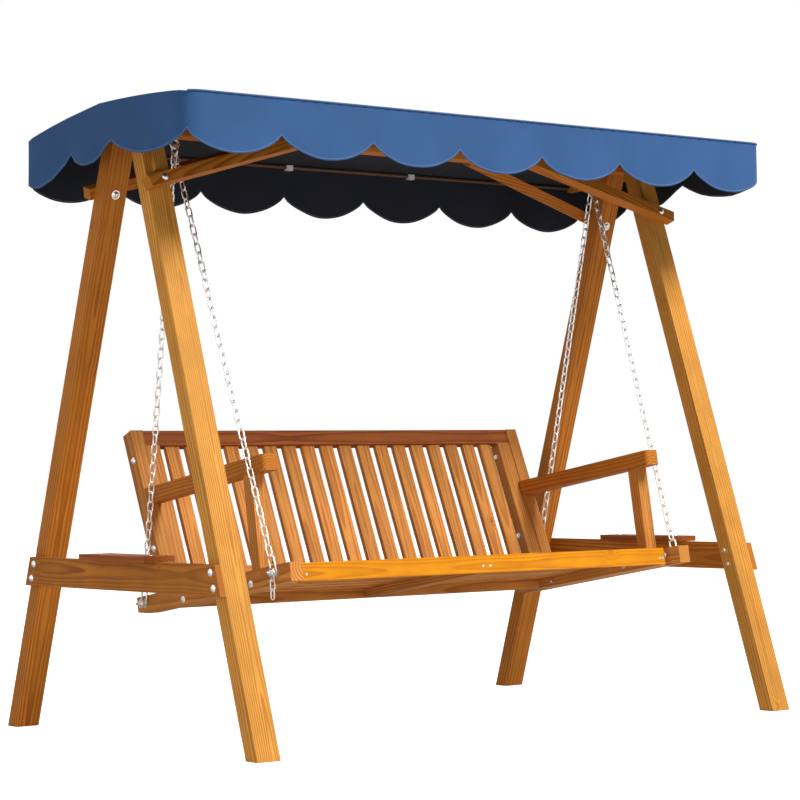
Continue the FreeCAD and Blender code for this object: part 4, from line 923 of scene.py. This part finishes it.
def awning(name, cloth, hem, sheen):
    """Woven awning cloth of one colour."""

    def feeds(w):
        uv = w.add("ShaderNodeUVMap", {"uv_map": "UVMap"}).outputs[0]
        edge = w.add("ShaderNodeAttribute", {"attribute_name": "edge"}).outputs["Fac"]
        return {"UV": uv, "Edge": edge, "Cloth": cloth, "Hem": hem}

    values = {"Sheen Weight": sheen, "Sheen Roughness": 0.5, "Specular IOR Level": 0.2}
    return finish_from(name, WEAVE, 0.5, 0.0006, feeds, values)


def bead(name, points, radius, material):
    """A thin sewn-in piping along points."""
    curve = bpy.data.curves.new(name, "CURVE")
    curve.dimensions = "3D"
    curve.bevel_depth = radius
    curve.bevel_resolution = 2
    curve.use_fill_caps = True
    spline = curve.splines.new("POLY")
    spline.points.add(len(points) - 1)
    for point, place in zip(spline.points, points):
        point.co = (*place, 1)
    holder = bpy.data.objects.new(name + "_curve", curve)
    bpy.context.collection.objects.link(holder)
    graph = bpy.context.evaluated_depsgraph_get()
    mesh = bpy.data.meshes.new_from_object(holder.evaluated_get(graph), depsgraph=graph)
    bpy.data.objects.remove(holder)
    mesh.name = name
    mesh.materials.clear()
    mesh.materials.append(material)
    for face in mesh.polygons:
        face.use_smooth = True
    return piece(name, mesh)


# ------------------------------------------------------------------ build


def dress_metal():
    """Zinc on every fastener, and a brighter zinc on the chain parts, handed back for the chains."""
    bolt_zinc = zinc("zinc_bolts")
    chain_zinc = zinc("zinc_chain", (0.95, 0.95, 0.94, 1))
    for node in NODES:
        if node.endswith(("_bolts", "_nuts", "_washers", "_screws", "_eyes")):
            dress(node, bolt_zinc)
        if node in ("chain_rings", "chain_tail"):
            dress(node, chain_zinc)
    return chain_zinc


def hang_chains(finish):
    """The four chains, front and rear on each side."""
    run = chain_tree(link_tree())
    for end in CHAIN_BOLTS:
        for side_name, side in (("left", -1), ("right", 1)):
            hang_chain(end, side_name, side, run, finish)


def dress_poles():
    """Brown paint on the canopy's poles and pale plastic on its clips."""
    pole_paint = speckled("pole_paint", (0.10, 0.045, 0.02, 1), 0.45)
    for node in ("canopy_pole_front", "canopy_pole_ridge", "canopy_pole_rear"):
        dress(node, pole_paint)
    dress("canopy_clips", speckled("clip_plastic", (0.82, 0.82, 0.80, 1), 0.45))


def stretch_cloth():
    """The canopy's sheet, blue outside and slate inside, and its area."""
    blue = awning("awning_blue", (0.028, 0.085, 0.222, 1), (0.044, 0.115, 0.272, 1), 0.06)
    slate = awning("awning_lining", (0.017, 0.021, 0.031, 1), (0.020, 0.025, 0.036, 1), 0.02)
    cloth, area = canopy()
    cloth.data.materials.append(blue)
    cloth.data.materials.append(slate)
    wall = cloth.modifiers.new("wall", "SOLIDIFY")
    wall.thickness = CLOTH
    wall.offset = -1
    wall.material_offset = 1
    wall.material_offset_rim = 0
    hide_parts("canopy_cloth")
    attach(cloth, "canopy")
    return cloth, area


def sew_piping():
    """The piping along the roof's front edge."""
    piping_blue = speckled("piping_blue", (0.030, 0.085, 0.215, 1), 0.7)
    points = []
    for step in range(-PIPING_STEPS, PIPING_STEPS + 1):
        x, y = rounded_corner(step * ROOF_HALF / PIPING_STEPS, ROOF_FRONT[0])
        points.append((x, y - PIPING_LIFT, arched(ROOF_FRONT[0]) + PIPING_LIFT))
    piping = bead("canopy_piping_front", points, PIPING, piping_blue)
    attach(piping, "canopy")
    return piping


photographer()
studio()
paper_floor()
for number, (node, (turn, tones)) in enumerate(TIMBER.items()):
    dress(node, timber(node, number, turn, tones))
hang_chains(dress_metal())
dress_poles()
cloth, cloth_area = stretch_cloth()
piping = sew_piping()
